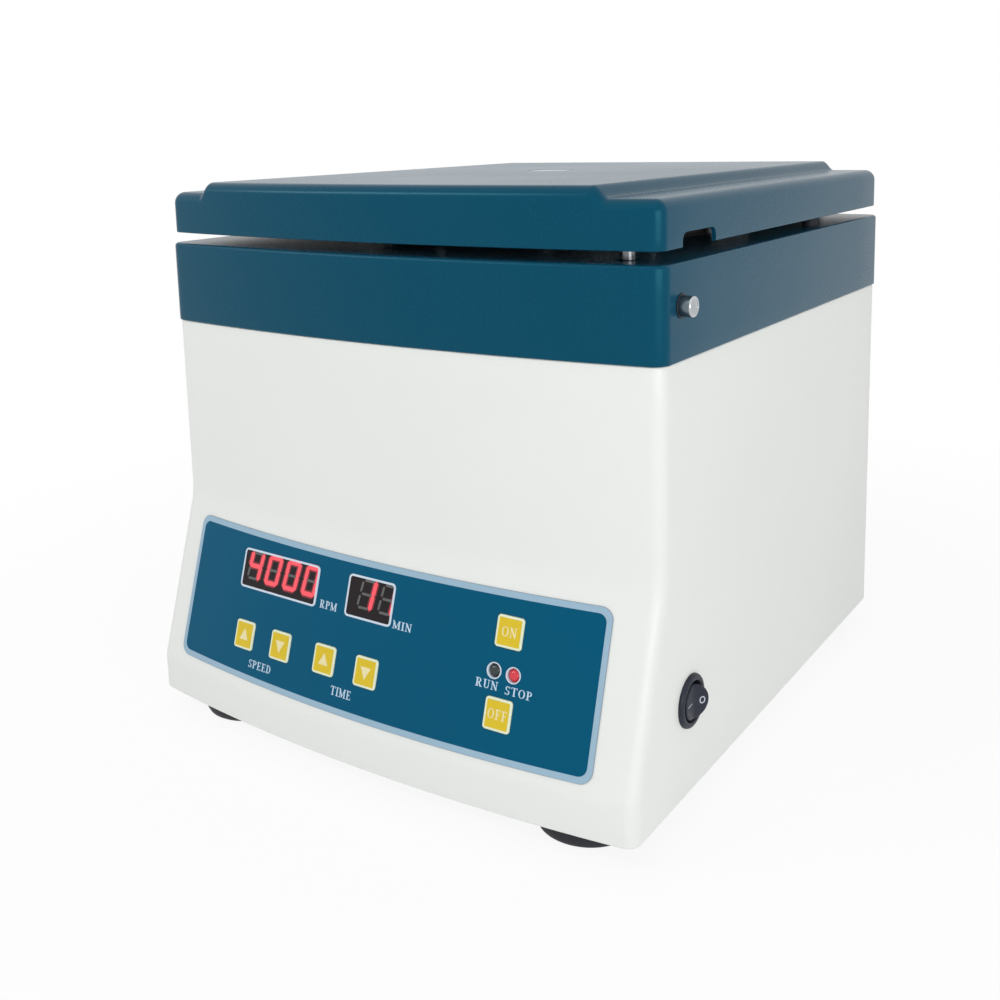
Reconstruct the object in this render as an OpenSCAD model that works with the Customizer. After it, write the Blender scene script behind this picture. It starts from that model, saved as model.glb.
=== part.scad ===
// Benchtop low-speed centrifuge: a white housing with a sloped control panel, a teal collar
// round the rotor chamber, and a hinged lid with a push-button latch. Millimetres, +Z up,
// front towards -Y, origin on the floor under the middle of the whole outline.

/* [Case] */
// Width of the collar and the lid
case_w = 273; // [260:1:300]
// Depth of the collar and the lid along their flat sides
case_d = 272; // [260:1:300]
// How far the front bulges forward at its middle
front_bow = 10; // [7:0.2:14]
// Radius of the upright corners
corner_r = 7; // [6.5:0.5:10]
// Height of the housing
housing_h = 185.7; // [182:0.5:210]
// Step from the collar's face in to the housing's face
housing_step = 0.8; // [0.4:0.1:1.6]
// Wall of the housing
housing_wall = 2.5; // [2:0.25:3]
// Height of the collar
collar_h = 38.9; // [37:0.5:48]
// Wall of the collar and of the lid
shell_wall = 3; // [2.5:0.25:3.5]
// Thickness of the collar's deck
deck_t = 3.2; // [3:0.2:5]
// Depth of the lip that locates the collar in the housing
lip_h = 9; // [8:0.5:12]
// Thickness of the base plate
base_t = 2; // [1.5:0.25:3]

/* [Lid] */
// Gap between the deck and the lid
lid_gap = 5.1; // [4.7:0.1:7]
// Height of the lid at its two shoulders
shoulder_h = 19.9; // [18:0.5:26]
// Rise of the middle band above the shoulders
band_rise = 5; // [3:0.5:8]
// Width of the middle band on top
band_w = 215; // [206:1:218]
// Width of the slope from the band down to a shoulder
band_slope = 4.5; // [3:0.5:7]
// Radius of the lid's top edges
lid_edge_r = 6; // [4:0.5:7]
// Radius of the sight window in the lid
port_r = 12; // [9:0.5:15]
// Distance of the finger notch's middle from the front corner
notch_back = 34.5; // [30:0.5:60]
// Length of the finger notch
notch_w = 31.3; // [26:0.5:40]
// Height of the finger notch
notch_h = 6; // [5:0.5:8]
// How far the lid's buffers stand from the lid's side faces
buffer_inset = 11; // [9:0.5:14]
// Distance of the lid's buffers behind the middle
buffer_y = 53.5; // [40:0.5:80]

/* [Control panel] */
// Height of the crease where the front starts to slope
crease_h = 95.4; // [92:0.5:105]
// Height of the upright skirt under the sloped panel
skirt_h = 16; // [12:0.5:20]
// Slope of the control panel, from upright
panel_tilt = 17.3; // [14:0.1:20]
// Width of the printed overlay
overlay_w = 236.4; // [232:0.5:240]
// Height of the printed overlay
overlay_h = 69.3; // [68:0.5:72]
// Thickness of the printed overlay
overlay_t = 0.4; // [0.3:0.1:0.6]
// Distance of the overlay's top edge below the crease
overlay_top = 8.1; // [7:0.1:9]
// Width of a key
key_w = 13.3; // [12:0.1:14]
// How far a key stands out of the overlay
key_proud = 0.9; // [0.7:0.1:1.2]
// Depth of the circuit board behind the panel
board_depth = 17; // [16:0.5:20]

/* [Chamber and rotor] */
// Inner radius of the rotor chamber
chamber_r = 80; // [78:0.5:82]
// Depth of the rotor chamber below the deck
chamber_depth = 98; // [94:0.5:100]
// Distance of the rotor's axis behind the middle of the case
axis_y = 6; // [2:0.5:10]
// Sheet thickness of the chamber bowl
bowl_t = 1.5; // [1:0.25:2]
// Outer radius of the chamber gasket
gasket_r = 88; // [87:0.5:89]
// Outer radius of the bowl's flange
flange_r = 97; // [96.5:0.5:99]
// Number of tube sleeves in the rotor
tube_count = 6; // [4:1:6]
// Outer radius of a tube sleeve
tube_r = 11.5; // [10:0.25:12]
// Length of a tube sleeve
tube_len = 72; // [66:1:74]
// Lean of the tube sleeves, from upright
tube_tilt = 28; // [25:1:30]

/* [Motor] */
// Outer radius of the motor's can
motor_r = 42; // [38:1:44]
// Length of the motor's can
motor_h = 54; // [48:1:60]
// Radius of the motor's shaft
shaft_r = 5; // [4.5:0.25:6]
// Height of the rubber dampers under the motor
damper_h = 20; // [16:1:22]

/* [Fittings] */
// Height of the rubber feet
foot_h = 13.5; // [10:0.5:18]
// Radius of the rubber feet
foot_r = 23.4; // [18:0.2:26]
// Distance of the feet from the side faces
foot_inset = 36.5; // [32:0.5:50]
// Radius of the release button
button_r = 4.2; // [3.6:0.1:4.6]
// How far the release button stands out
button_proud = 4.8; // [4.7:0.1:5.2]
// Distance of the release button behind the front corner
button_back = 15.2; // [15:0.2:20]
// Height of the release button above the collar's lower edge
button_h = 22; // [21:0.2:24]
// Outer radius of the power switch's bezel
switch_bezel_r = 11.5; // [11.2:0.1:13]
// Height of the power switch above the housing's lower edge
switch_h = 40; // [34:0.5:60]
// Distance of the power switch behind the front corner
switch_back = 25.5; // [24:0.5:40]
// Distance of the hinges from the middle
hinge_x = 80; // [60:1:84]
// Width of a hinge leaf
hinge_w = 44; // [36:1:48]
// Radius of a hinge barrel
barrel_r = 3.4; // [3.2:0.1:3.8]

/* [Fits] */
// Clearance between pieces that are put together
slip = 0.3; // [0.2:0.05:0.4]
// Clearance between a turning or sliding piece and its bearing
running = 0.05; // [0.03:0.01:0.08]

/* [Hidden] */
$fn = 64;
fine_fn = 720;

teal = "#1f586c";
panel_teal = "#14587a";
warm_white = "#eceeea";
near_black = "#282a32";
steel = "#b9bcc0";
key_yellow = "#dcc332";

// Levels above the floor
base_z = foot_h;
skirt_z = base_z + skirt_h;
crease_z = base_z + crease_h;
housing_top = base_z + housing_h;
deck_z = housing_top + collar_h;
lid_z = deck_z + lid_gap;
shoulder_z = lid_z + shoulder_h;
lid_top = shoulder_z + band_rise;

// Plan of the case: flat sides and back, and a front on one large arc
bow_r = (case_w * case_w / 4 + front_bow * front_bow) / (2 * front_bow);
bow_y = bow_r - case_d / 2 - front_bow;
side_x = case_w / 2;
back_y = case_d / 2;
front_y = -case_d / 2;
corner_x = side_x - corner_r;
// A hair by which rounds and slopes overlap, so that their faces cross instead of just touching
corner_tuck = 0.02;
corner_front_y = bow_y - sqrt(pow(bow_r - corner_r, 2) - corner_x * corner_x) - corner_tuck;
corner_back_y = back_y - corner_r;

// Sloped panel: its own frame has x across, z up the slope and -y out of the panel
panel_y = front_y - front_bow + housing_step;
panel_r = (bow_r - housing_step) / cos(panel_tilt);
panel_corner_r = corner_r - housing_step;
panel_corner_y = panel_r - sqrt(pow(panel_r - panel_corner_r, 2) - corner_x * corner_x) - corner_tuck;
flare = (crease_z - skirt_z) * tan(panel_tilt);
panel_len = (crease_z - skirt_z) / cos(panel_tilt);
panel_back = 40;

// Hinge line, in the gap behind the back face
hinge_y = back_y + barrel_r + slip;
hinge_z = deck_z + lid_gap / 2;
leaf_t = 1.6;
leaf_h = 15.5;
leaf_start = barrel_r + 0.5;
pin_r = 1.6;
knuckle_w = round(10 * hinge_w / 3) / 10;
hinge_pad = 6;
hinge_screw_z = leaf_start + leaf_h / 2;
hinge_screw_x = hinge_w / 2 - 8;

// The origin lies under the middle of the outline, front to back
outline_front = panel_y - flare;
outline_back = hinge_y + barrel_r;
mid_y = (outline_front + outline_back) / 2;

// Length of a cut that goes right through a wall
cut = 20;

// Screws: one head size throughout
screw_r = 2;
screw_head_r = 3.5;
screw_head_h = 2.2;

// Collar lip inside the housing
lip_t = 2;
lip_out = housing_step + housing_wall + slip;
lip_in = lip_out + lip_t;
ledge_t = 3;
lip_screw_y = 70;
lip_screw_z = housing_top - lip_h / 2;
lip_screw_len = lip_t + slip + housing_wall - 0.8;

// Base
post_w = 14;
post_h = 24;
post_y = 85;
post_x = side_x - housing_step - housing_wall - post_w / 2 + 1;
floor_z = base_z + base_t;
foot_x = side_x - foot_inset;
foot_front_y = front_y + 2.5;
foot_rear_y = back_y - foot_inset + 8;
foot_round = 4;
foot_well_r = 6;
foot_well_h = 6;
vent_w = 4;
vent_len = 40;
vent_pitch = 9;
vent_count = 7;

// Chamber
bowl_floor = deck_z - chamber_depth;
bowl_round = 10;
flange_t = 1;
deck_hole_r = chamber_r + bowl_t + 0.5;
bowl_screw_pcr = (gasket_r + flange_r) / 2;
bowl_screw_count = 6;
shaft_hole_r = 16;
liner_lift = 1;
liner_t = 1.2;
liner_r = flange_r + 7;
liner_screw_pcr = liner_r - 6;
liner_screw_len = 8;
liner_screw_count = 6;
liner_screw_turn = 30;
boss_r = 5;
gasket_in = chamber_r + 1;

// Sight window in the lid
port_deep = 2.2;
port_t = 1.6;
port_ledge = 1.5;

// Rotor
rotor_seat = bowl_floor + 18;
tube_gap = 6;
tube_wall = 1.5;
rim_t = 2;
rim_r = tube_r + 2;
tube_low_z = bowl_floor + tube_gap + tube_r * sin(tube_tilt);
tube_top_z = tube_low_z + tube_len * cos(tube_tilt);
tube_top_r = chamber_r - tube_gap - tube_r * cos(tube_tilt) - tube_len * sin(tube_tilt);
seat_sink = 1;
seat_cut = 4.5;
dish_t = 10;
dish_r = tube_top_r + (rim_t - seat_sink) * sin(tube_tilt);
dish_z = tube_top_z - (rim_t - seat_sink) * cos(tube_tilt);
dish_edge_r = dish_r + (tube_r + 7) * cos(tube_tilt);
hub_r = 15;
function dish_at(r) = dish_z + (r - dish_r) * tan(tube_tilt);
hub_top = dish_at(hub_r);
stud_r = shaft_r - 1;
stud_h = 8;
nut_r = 10;
nut_h = 9;

// Motor, stacked up from the base plate
motor_plate_t = 4;
motor_plate_r = motor_r + 22;
damper_r = 9;
damper_pcr = motor_r + 12;
motor_plate_z = floor_z + damper_h;
cap_z = motor_plate_z + motor_plate_t;
cap_h = 8;
can_z = cap_z + cap_h;
can_wall = 2;
can_top = can_z + motor_h;
top_cap_h = 10;
spigot_h = 4;
base_cap_r = motor_r + 8;
motor_screw_pcr = motor_r + 4;
bearing_r = 11;
bearing_h = 6;
low_bearing_z = can_z - bearing_h;
high_bearing_z = can_top + 1;
stator_in = 24.5;
air_gap = 0.5;
stator_margin = 10;

// Control panel: places are across and down the slope from the crease
overlay_x = -0.9;
overlay_r = 7;
overlay_seat = 0.2;
overlay_face = overlay_seat + overlay_t;
key_h = key_w + 0.2;
key_flange = 1.3;
key_flange_t = 1.5;
key_stem_r = 2.5;
key_travel = 0.6;
stem_end = 9;
key_places = [[-74.1, 57.4], [-49.3, 57.3], [-20.9, 57.1], [3.8, 57.1], [73, 24.8], [72.7, 58.5]];
speed_window_place = [-57, 26.2];
speed_window_size = [51.3, 18.7];
timer_window_place = [0, 25.9];
timer_window_size = [26.9, 19];
window_rim = 1.5;
display_depth = 10;
run_lamp_place = [68.3, 41.4];
stop_lamp_place = [77.4, 41.5];
lamp_ring_r = 3.5;
lamp_lens_r = 2.5;
lamp_body_r = 2.9;
board_w = 220;
board_h = 64;
board_t = 1.6;
board_mid = overlay_top + overlay_h / 2;
standoff_r = 3.5;
standoff_x = board_w / 2 - 8;
standoff_v = board_h / 2 - 5;
function panel_sag(x) = panel_r - sqrt(panel_r * panel_r - x * x);

// Power pieces on the base plate and in the back wall
back_wall_y = back_y - housing_step;
inlet_x = -40;
inlet_up = 44;
inlet_z = base_z + inlet_up;
inlet_w = 27;
inlet_h = 20;
inlet_deep = 26;
inlet_wall = 1.3;
inlet_rim = 3;
inlet_rim_t = 2.5;
socket_deep = 21;
board_post_h = 8;
power_board_w = 50;
power_board_d = 70;
power_board_in = 44;
power_board_back = 73.5;
power_board_x = -(side_x - power_board_in);
power_board_y = back_y - power_board_back;
capacitor_r = 9;
capacitor_h = 26;
core_w = 50;
core_d = 40;
core_h = 42;
core_in = 48;
core_back = 71.5;
core_x = side_x - core_in;
core_y = back_y - core_back;
back_vent_x = 40;
back_vent_up = 60;
back_vent_z = base_z + back_vent_up;

// Power switch in the right wall
switch_y = front_y + switch_back;
switch_z = base_z + switch_h;
switch_x = side_x - housing_step;
switch_body_r = switch_bezel_r - 1.7;
switch_well_r = switch_body_r - 1.2;
switch_bezel_t = 2;
switch_deep = 18;
rocker_r = switch_well_r - 1;
rocker_tilt = 8;
rocker_pin_r = 1.5;
rocker_pivot_x = switch_x - 3;
rocker_rise = 4;
rocker_back = 4;

// Latch in the front right corner of the collar
latch_y = front_y + button_back;
latch_z = housing_top + button_h;
latch_travel = 4.5;
strike_x = side_x - 23;
strike_r = 3;
strike_neck_r = 1.5;
strike_tip = 4;
strike_root = 7;
slide_t = 3;
slide_w = 13.6;
catch_bite = 1.2;
slide_left = strike_x - 8;
slide_right = strike_x + 12;
spring_len = 14;
guide_wall = 3;
guide_left = slide_left - spring_len - guide_wall;
guide_right = slide_right + 2;
guide_drop = 4.2;
bush_r = button_r + running + 0.75;
bush_flange_r = bush_r + 2;
bush_flange_t = 1.5;
bush_proud = 0.4;
cap_left = side_x - shell_wall - 4;
spring_wire_r = 0.45;
spring_r = 2.4;
spring_turns = 6;
spring_rings = 8;
spring_sides = 6;

function arc(x, y, r, from, to, steps = 6) = [
  for (i = [0:steps]) let (turn = from + (to - from) * i / steps) [x + r * cos(turn), y + r * sin(turn)]
];

// Plan outline of the case, set in by a wall or a step
module plan(inset = 0) {
  r = bow_r - inset;
  knee = corner_x * r / (bow_r - corner_r);
  round_r = corner_r - inset;
  intersection() {
    translate([0, bow_y]) circle(r, $fn = fine_fn);
    translate([-knee, -case_d]) square([2 * knee, case_d + corner_front_y]);
  }
  translate([-corner_x, corner_front_y - 1]) square([2 * corner_x, back_y - inset - corner_front_y + 1]);
  translate([inset - side_x, corner_front_y]) square([case_w - 2 * inset, corner_back_y - corner_front_y]);
  for (x = [-corner_x, corner_x], y = [corner_front_y, corner_back_y]) translate([x, y]) circle(round_r);
}

// Cross-section of the sloped panel, square to the slope
module panel_plan(inset = 0) {
  r = panel_r - inset;
  knee = corner_x * r / (panel_r - panel_corner_r);
  corner = corner_x - corner_tuck;
  side = corner + panel_corner_r - inset;
  intersection() {
    translate([0, panel_r]) circle(r, $fn = fine_fn);
    translate([-knee, -panel_back]) square([2 * knee, panel_back + panel_corner_y]);
  }
  translate([-side, panel_corner_y]) square([2 * side, panel_back]);
  for (x = [-corner, corner]) translate([x, panel_corner_y]) circle(panel_corner_r - inset);
}

module panel_frame() {
  translate([0, panel_y, crease_z]) rotate([-panel_tilt, 0, 0]) children();
}

// Puts a shape on the curved panel: its z points out, its y up the slope
module at_panel(place) {
  panel_frame()
    translate([0, panel_r, -place[1]])
    rotate([0, 0, asin(place[0] / panel_r)])
    translate([0, -panel_r, 0])
    rotate([90, 0, 0])
    children();
}

module at_axis(z) {
  translate([0, axis_y, z]) children();
}

module tube(r_out, r_in, h) {
  difference() {
    cylinder(r = r_out, h = h);
    translate([0, 0, -1]) cylinder(r = r_in, h = h + 2);
  }
}

module rounded(w, h, r) {
  square([w - 2 * r, h], center = true);
  square([w, h - 2 * r], center = true);
  for (x = [r - w / 2, w / 2 - r], y = [r - h / 2, h / 2 - r]) translate([x, y]) circle(r);
}

// Pan-head screw: its head's seat at z = 0, its shank down
module screw(length) {
  cylinder(r = screw_head_r, h = screw_head_h);
  translate([0, 0, -length]) cylinder(r = screw_r, h = length);
}

module ring_of(count, r, turn = 0) {
  for (i = [0:count - 1]) rotate([0, 0, turn + 360 * i / count]) translate([r, 0, 0]) children();
}

module at_liner_screws() {
  ring_of(liner_screw_count, liner_screw_pcr, liner_screw_turn) children();
}

// Solid form of the housing, set in by its wall for the hollow
module housing_form(inset, over) {
  translate([0, 0, base_z - over]) linear_extrude(housing_h + 2 * over) plan(housing_step + inset);
  intersection() {
    panel_frame() translate([0, 0, -2 * panel_len]) linear_extrude(3 * panel_len) panel_plan(inset);
    translate([0, -flare, base_z - over]) linear_extrude(crease_h + panel_back) plan(housing_step + inset);
  }
}

module key_hole() {
  cube([key_w + 2 * slip, key_h + 2 * slip, cut], center = true);
}

module window_hole(size, grow) {
  cube([size[0] + 2 * grow, size[1] + 2 * grow, cut], center = true);
}

module post_places() {
  for (x = [-post_x, post_x], y = [-post_y, post_y]) translate([x, y, floor_z]) children();
}

module foot_places(z) {
  for (x = [-foot_x, foot_x], y = [foot_front_y, foot_rear_y]) translate([x, y, z]) children();
}

module lip_screw_places() {
  for (s = [-1, 1], y = [-lip_screw_y, lip_screw_y])
    translate([s * (side_x - lip_in), y, lip_screw_z]) rotate([0, -90 * s, 0]) children();
}

module standoff_places() {
  for (x = [-standoff_x, standoff_x], v = [-standoff_v, standoff_v])
    translate([x, board_depth, -board_mid + v]) rotate([90, 0, 0]) children();
}

module housing() {
  color(warm_white) difference() {
    union() {
      difference() {
        housing_form(0, 0);
        housing_form(housing_wall, 1);
      }
      post_places() translate([-post_w / 2, -post_w / 2, 0]) cube([post_w, post_w, post_h]);
      panel_frame() standoff_places()
        cylinder(r = standoff_r, h = board_depth - panel_sag(standoff_x) - housing_wall / 2);
    }
    for (place = key_places) at_panel(place) key_hole();
    at_panel(speed_window_place) window_hole(speed_window_size, -window_rim);
    at_panel(timer_window_place) window_hole(timer_window_size, -window_rim);
    for (place = [run_lamp_place, stop_lamp_place])
      at_panel(place) cylinder(r = lamp_body_r + slip / 2, h = cut, center = true);
    translate([switch_x, switch_y, switch_z]) rotate([0, 90, 0])
      cylinder(r = switch_body_r + slip, h = cut, center = true);
    translate([inlet_x, back_wall_y, inlet_z]) cube([inlet_w + slip, cut, inlet_h + slip], center = true);
    for (i = [0:vent_count - 1])
      translate([back_vent_x + (i - (vent_count - 1) / 2) * vent_pitch, back_wall_y, back_vent_z])
      cube([vent_w, cut, vent_len], center = true);
    post_places() translate([0, 0, -1]) cylinder(r = screw_r, h = post_h - 4);
    lip_screw_places() translate([0, 0, -lip_screw_len]) cylinder(r = screw_r, h = lip_screw_len);
    panel_frame() standoff_places() translate([0, 0, -1]) cylinder(r = screw_r / 2, h = 5);
  }
}

module base_outline() {
  plan(lip_out);
  translate([0, -flare]) plan(lip_out);
}

module base_plate() {
  color("silver") difference() {
    union() {
      translate([0, 0, base_z]) linear_extrude(base_t) base_outline();
      power_post_places() cylinder(r = standoff_r, h = board_post_h);
    }
    post_places() translate([0, 0, -base_t - 1]) cylinder(r = screw_r + slip / 2, h = base_t + 2);
    foot_places(base_z - 1) cylinder(r = screw_r + slip / 2, h = base_t + 2);
    for (s = [-1, 1], i = [0:vent_count - 1])
      translate([s * side_x / 2 - vent_w / 2, (i - vent_count / 2) * vent_pitch - side_x / 2, base_z - 1])
      cube([vent_len, vent_w, base_t + 2]);
  }
}

module foot(x, y) {
  color(near_black) translate([x, y, 0]) difference() {
    rotate_extrude() polygon(concat(
      [[0, 0]],
      arc(foot_r - foot_round, foot_round, foot_round, -90, 0),
      [[foot_r, base_z], [0, base_z]]
    ));
    translate([0, 0, -1]) cylinder(r = foot_well_r, h = foot_well_h + 1);
    cylinder(r = screw_r + slip / 2, h = base_z + 1);
  }
}

module foot_front_left() {
  foot(-foot_x, foot_front_y);
}

module foot_front_right() {
  foot(foot_x, foot_front_y);
}

module foot_rear_left() {
  foot(-foot_x, foot_rear_y);
}

module foot_rear_right() {
  foot(foot_x, foot_rear_y);
}

module chassis_screws() {
  color(steel) {
    foot_places(foot_well_h) mirror([0, 0, 1]) screw(base_z + base_t + 4 - foot_well_h);
    post_places() translate([0, 0, -base_t]) mirror([0, 0, 1]) screw(base_t + post_h - 6);
    lip_screw_places() screw(lip_screw_len);
  }
}

module striker_slot() {
  translate([strike_x, latch_y, 0]) cube([2 * strike_r + 2, 2 * strike_r + 6, cut], center = true);
}

module hinge_pads(z) {
  for (x = [-hinge_x, hinge_x])
    translate([x - hinge_w / 2, back_y - shell_wall - hinge_pad + 1, z]) cube([hinge_w, hinge_pad, leaf_h]);
}

module hinge_screw_places(side) {
  for (x = [-hinge_x, hinge_x], dx = [-hinge_screw_x, hinge_screw_x])
    translate([x + dx, back_y + leaf_t, hinge_z + side * hinge_screw_z]) rotate([-90, 0, 0]) children();
}

module collar() {
  color(teal) difference() {
    union() {
      difference() {
        translate([0, 0, housing_top]) linear_extrude(collar_h) plan(0);
        translate([0, 0, housing_top - 1]) linear_extrude(collar_h + 1 - deck_t) plan(shell_wall);
      }
      difference() {
        translate([0, 0, housing_top]) linear_extrude(ledge_t) plan(0);
        translate([0, 0, housing_top - 1]) linear_extrude(ledge_t + 2) plan(lip_in);
      }
      difference() {
        translate([0, 0, housing_top - lip_h]) linear_extrude(lip_h + ledge_t) plan(lip_out);
        translate([0, 0, housing_top - lip_h - 1]) linear_extrude(lip_h + ledge_t + 2) plan(lip_in);
      }
      hinge_pads(hinge_z - leaf_start - leaf_h);
    }
    at_axis(deck_z - deck_t - 1) cylinder(r = deck_hole_r, h = deck_t + 2);
    at_axis(deck_z - flange_t) cylinder(r = flange_r + slip, h = flange_t + 1);
    at_axis(deck_z - deck_t - 1)
      ring_of(bowl_screw_count, bowl_screw_pcr) cylinder(r = screw_r, h = deck_t + 2);
    translate([0, 0, deck_z]) striker_slot();
    translate([side_x, latch_y, latch_z]) rotate([0, 90, 0]) cylinder(r = bush_r, h = cut, center = true);
    lip_screw_places() translate([0, 0, -lip_screw_len])
      cylinder(r = screw_r + slip / 2, h = lip_screw_len + 1);
    hinge_screw_places(-1) translate([0, 0, -cut]) cylinder(r = screw_r, h = cut);
  }
}

module chamber_bowl() {
  outer_r = chamber_r + bowl_t;
  low_z = bowl_floor - bowl_t;
  color(steel) at_axis(0) difference() {
    rotate_extrude() polygon(concat(
      [[shaft_hole_r, low_z]],
      arc(outer_r - bowl_round, low_z + bowl_round, bowl_round, -90, 0),
      [[outer_r, deck_z - flange_t], [flange_r, deck_z - flange_t], [flange_r, deck_z], [chamber_r, deck_z]],
      arc(outer_r - bowl_round, low_z + bowl_round, bowl_round - bowl_t, 0, -90),
      [[shaft_hole_r, bowl_floor]]
    ));
    translate([0, 0, deck_z - flange_t - 1])
      ring_of(bowl_screw_count, bowl_screw_pcr) cylinder(r = screw_r + slip / 2, h = flange_t + 2);
  }
}

module chamber_gasket() {
  top_z = lid_z + liner_lift - slip;
  lip = (gasket_r - gasket_in) / 2;
  color(near_black) at_axis(0) rotate_extrude() polygon(concat(
    [[gasket_in, deck_z], [gasket_r, deck_z]],
    arc(gasket_r - lip, top_z - lip, lip, 0, 180, 12)
  ));
}

module bowl_screws() {
  color(steel) at_axis(deck_z) ring_of(bowl_screw_count, bowl_screw_pcr) screw(deck_t + 4);
}

module shaft_grommet() {
  low_z = bowl_floor - bowl_t;
  groove_r = shaft_hole_r - slip;
  bead = 4;
  color(near_black) at_axis(0) rotate_extrude() polygon([
    [groove_r - bead, low_z - 3], [groove_r + bead, low_z - 3], [groove_r + bead, low_z - slip],
    [groove_r, low_z - slip], [groove_r, bowl_floor + slip], [groove_r + bead, bowl_floor + slip],
    [groove_r + bead / 2, bowl_floor + 3], [groove_r - bead, bowl_floor + 3]
  ]);
}

module motor_can() {
  color(steel) at_axis(can_z) tube(motor_r, motor_r - can_wall, motor_h);
}

module motor_top_cap() {
  color("silver") at_axis(can_top) difference() {
    union() {
      cylinder(r = motor_r + 2, h = top_cap_h);
      translate([0, 0, -spigot_h]) cylinder(r = motor_r - can_wall - running, h = spigot_h);
    }
    translate([0, 0, -spigot_h - 1]) cylinder(r = bearing_r, h = spigot_h + 2 + bearing_h);
    cylinder(r = shaft_r + 2, h = top_cap_h + 1);
  }
}

module motor_base_cap() {
  color("silver") at_axis(cap_z) difference() {
    cylinder(r = base_cap_r, h = cap_h);
    translate([0, 0, cap_h - bearing_h]) cylinder(r = bearing_r, h = bearing_h + 1);
    translate([0, 0, -1]) ring_of(4, motor_screw_pcr, 45) cylinder(r = screw_r + slip / 2, h = cap_h + 2);
  }
}

module motor_bearings() {
  color(steel) for (z = [low_bearing_z, high_bearing_z])
    at_axis(z) tube(bearing_r - running, shaft_r + running, bearing_h);
}

module stator() {
  color("#8a4b2a") at_axis(can_z + stator_margin)
    tube(motor_r - can_wall - running, stator_in, motor_h - 2 * stator_margin);
}

module motor_plate() {
  color("silver") at_axis(motor_plate_z) difference() {
    cylinder(r = motor_plate_r, h = motor_plate_t);
    translate([0, 0, -1]) ring_of(4, motor_screw_pcr, 45) cylinder(r = screw_r, h = motor_plate_t + 2);
  }
}

module motor_dampers() {
  waist = damper_r - 2;
  color(near_black) at_axis(floor_z) ring_of(3, damper_pcr, 90) rotate_extrude() polygon([
    [0, 0], [damper_r, 0], [damper_r, 3], [waist, damper_h / 2], [damper_r, damper_h - 3],
    [damper_r, damper_h], [0, damper_h]
  ]);
}

module motor_screws() {
  color(steel) at_axis(can_z) ring_of(4, motor_screw_pcr, 45) screw(cap_h + motor_plate_t);
}

module control_overlay() {
  color(panel_teal) difference() {
    panel_frame() intersection() {
      translate([0, panel_r, -2 * panel_len]) difference() {
        cylinder(r = panel_r + overlay_face, h = 2 * panel_len, $fn = fine_fn);
        translate([0, 0, -1]) cylinder(r = panel_r + overlay_seat, h = 2 * panel_len + 2, $fn = fine_fn);
      }
      translate([overlay_x, panel_back, -overlay_top - overlay_h / 2]) rotate([90, 0, 0])
        linear_extrude(2 * panel_back) rounded(overlay_w, overlay_h, overlay_r);
    }
    for (place = key_places) at_panel(place) key_hole();
    at_panel(speed_window_place) window_hole(speed_window_size, slip / 2);
    at_panel(timer_window_place) window_hole(timer_window_size, slip / 2);
    for (place = [run_lamp_place, stop_lamp_place])
      at_panel(place) cylinder(r = lamp_body_r + slip / 2, h = cut, center = true);
  }
}

module window(place, size) {
  color("#d8dcdc") at_panel(place) linear_extrude(overlay_face + slip) square(size, center = true);
}

module speed_window() {
  window(speed_window_place, speed_window_size);
}

module timer_window() {
  window(timer_window_place, timer_window_size);
}

module display(place, size) {
  color("#555a60") at_panel(place) translate([0, 0, -display_depth - 0.1]) linear_extrude(display_depth)
    square([size[0] - 2 * window_rim - 2 * slip, size[1] - 2 * window_rim - 2 * slip], center = true);
}

module speed_display() {
  display(speed_window_place, speed_window_size);
}

module timer_display() {
  display(timer_window_place, timer_window_size);
}

// Indicator lamp: a ring on the overlay, a domed lens and a body through the panel
module lamp(place, lens) {
  color(lens) at_panel(place) rotate_extrude() polygon(concat(
    [[0, -stem_end], [lamp_body_r, -stem_end], [lamp_body_r, overlay_face], [lamp_ring_r, overlay_face]],
    [[lamp_ring_r, overlay_face + 0.7]],
    arc(0, overlay_face + 0.7 - lamp_lens_r, lamp_lens_r * sqrt(2), 45, 90)
  ));
}

module run_lamp() {
  lamp(run_lamp_place, "#4a2a30");
}

module stop_lamp() {
  lamp(stop_lamp_place, "#e02818");
}

// Flat board behind the panel, with a press switch under each key's stem
module control_board() {
  color("#1f5f38") panel_frame() difference() {
    union() {
      translate([-board_w / 2, board_depth, -board_mid - board_h / 2]) cube([board_w, board_t, board_h]);
      for (place = key_places) {
        depth = panel_sag(place[0]) + stem_end + key_travel + 1;
        translate([place[0], board_depth + 0.1, -place[1]]) rotate([90, 0, 0])
          cylinder(r = key_stem_r, h = board_depth + 0.1 - depth);
      }
    }
    standoff_places() cylinder(r = screw_r / 2, h = 10, center = true);
  }
}

module power_post_places() {
  half_w = power_board_w / 2 - 5;
  half_d = power_board_d / 2 - 5;
  for (x = [-half_w, half_w], y = [-half_d, half_d])
    translate([power_board_x + x, power_board_y + y, floor_z]) children();
}

module power_board() {
  z = floor_z + board_post_h;
  color("#8a6a2c") {
    translate([power_board_x - power_board_w / 2, power_board_y - power_board_d / 2, z])
      cube([power_board_w, power_board_d, board_t]);
    for (y = [-15, 12])
      translate([power_board_x, power_board_y + y, z + board_t / 2])
      cylinder(r = capacitor_r, h = capacitor_h);
  }
}

module transformer() {
  color("#5a5d62") translate([core_x, core_y, floor_z]) {
    translate([-core_w / 2, -core_d / 2, 0]) cube([core_w, core_d, core_h]);
    translate([-core_w / 2 + 8, -core_d / 2 - 7, 7]) cube([core_w - 16, core_d + 14, core_h - 14]);
  }
}

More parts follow.
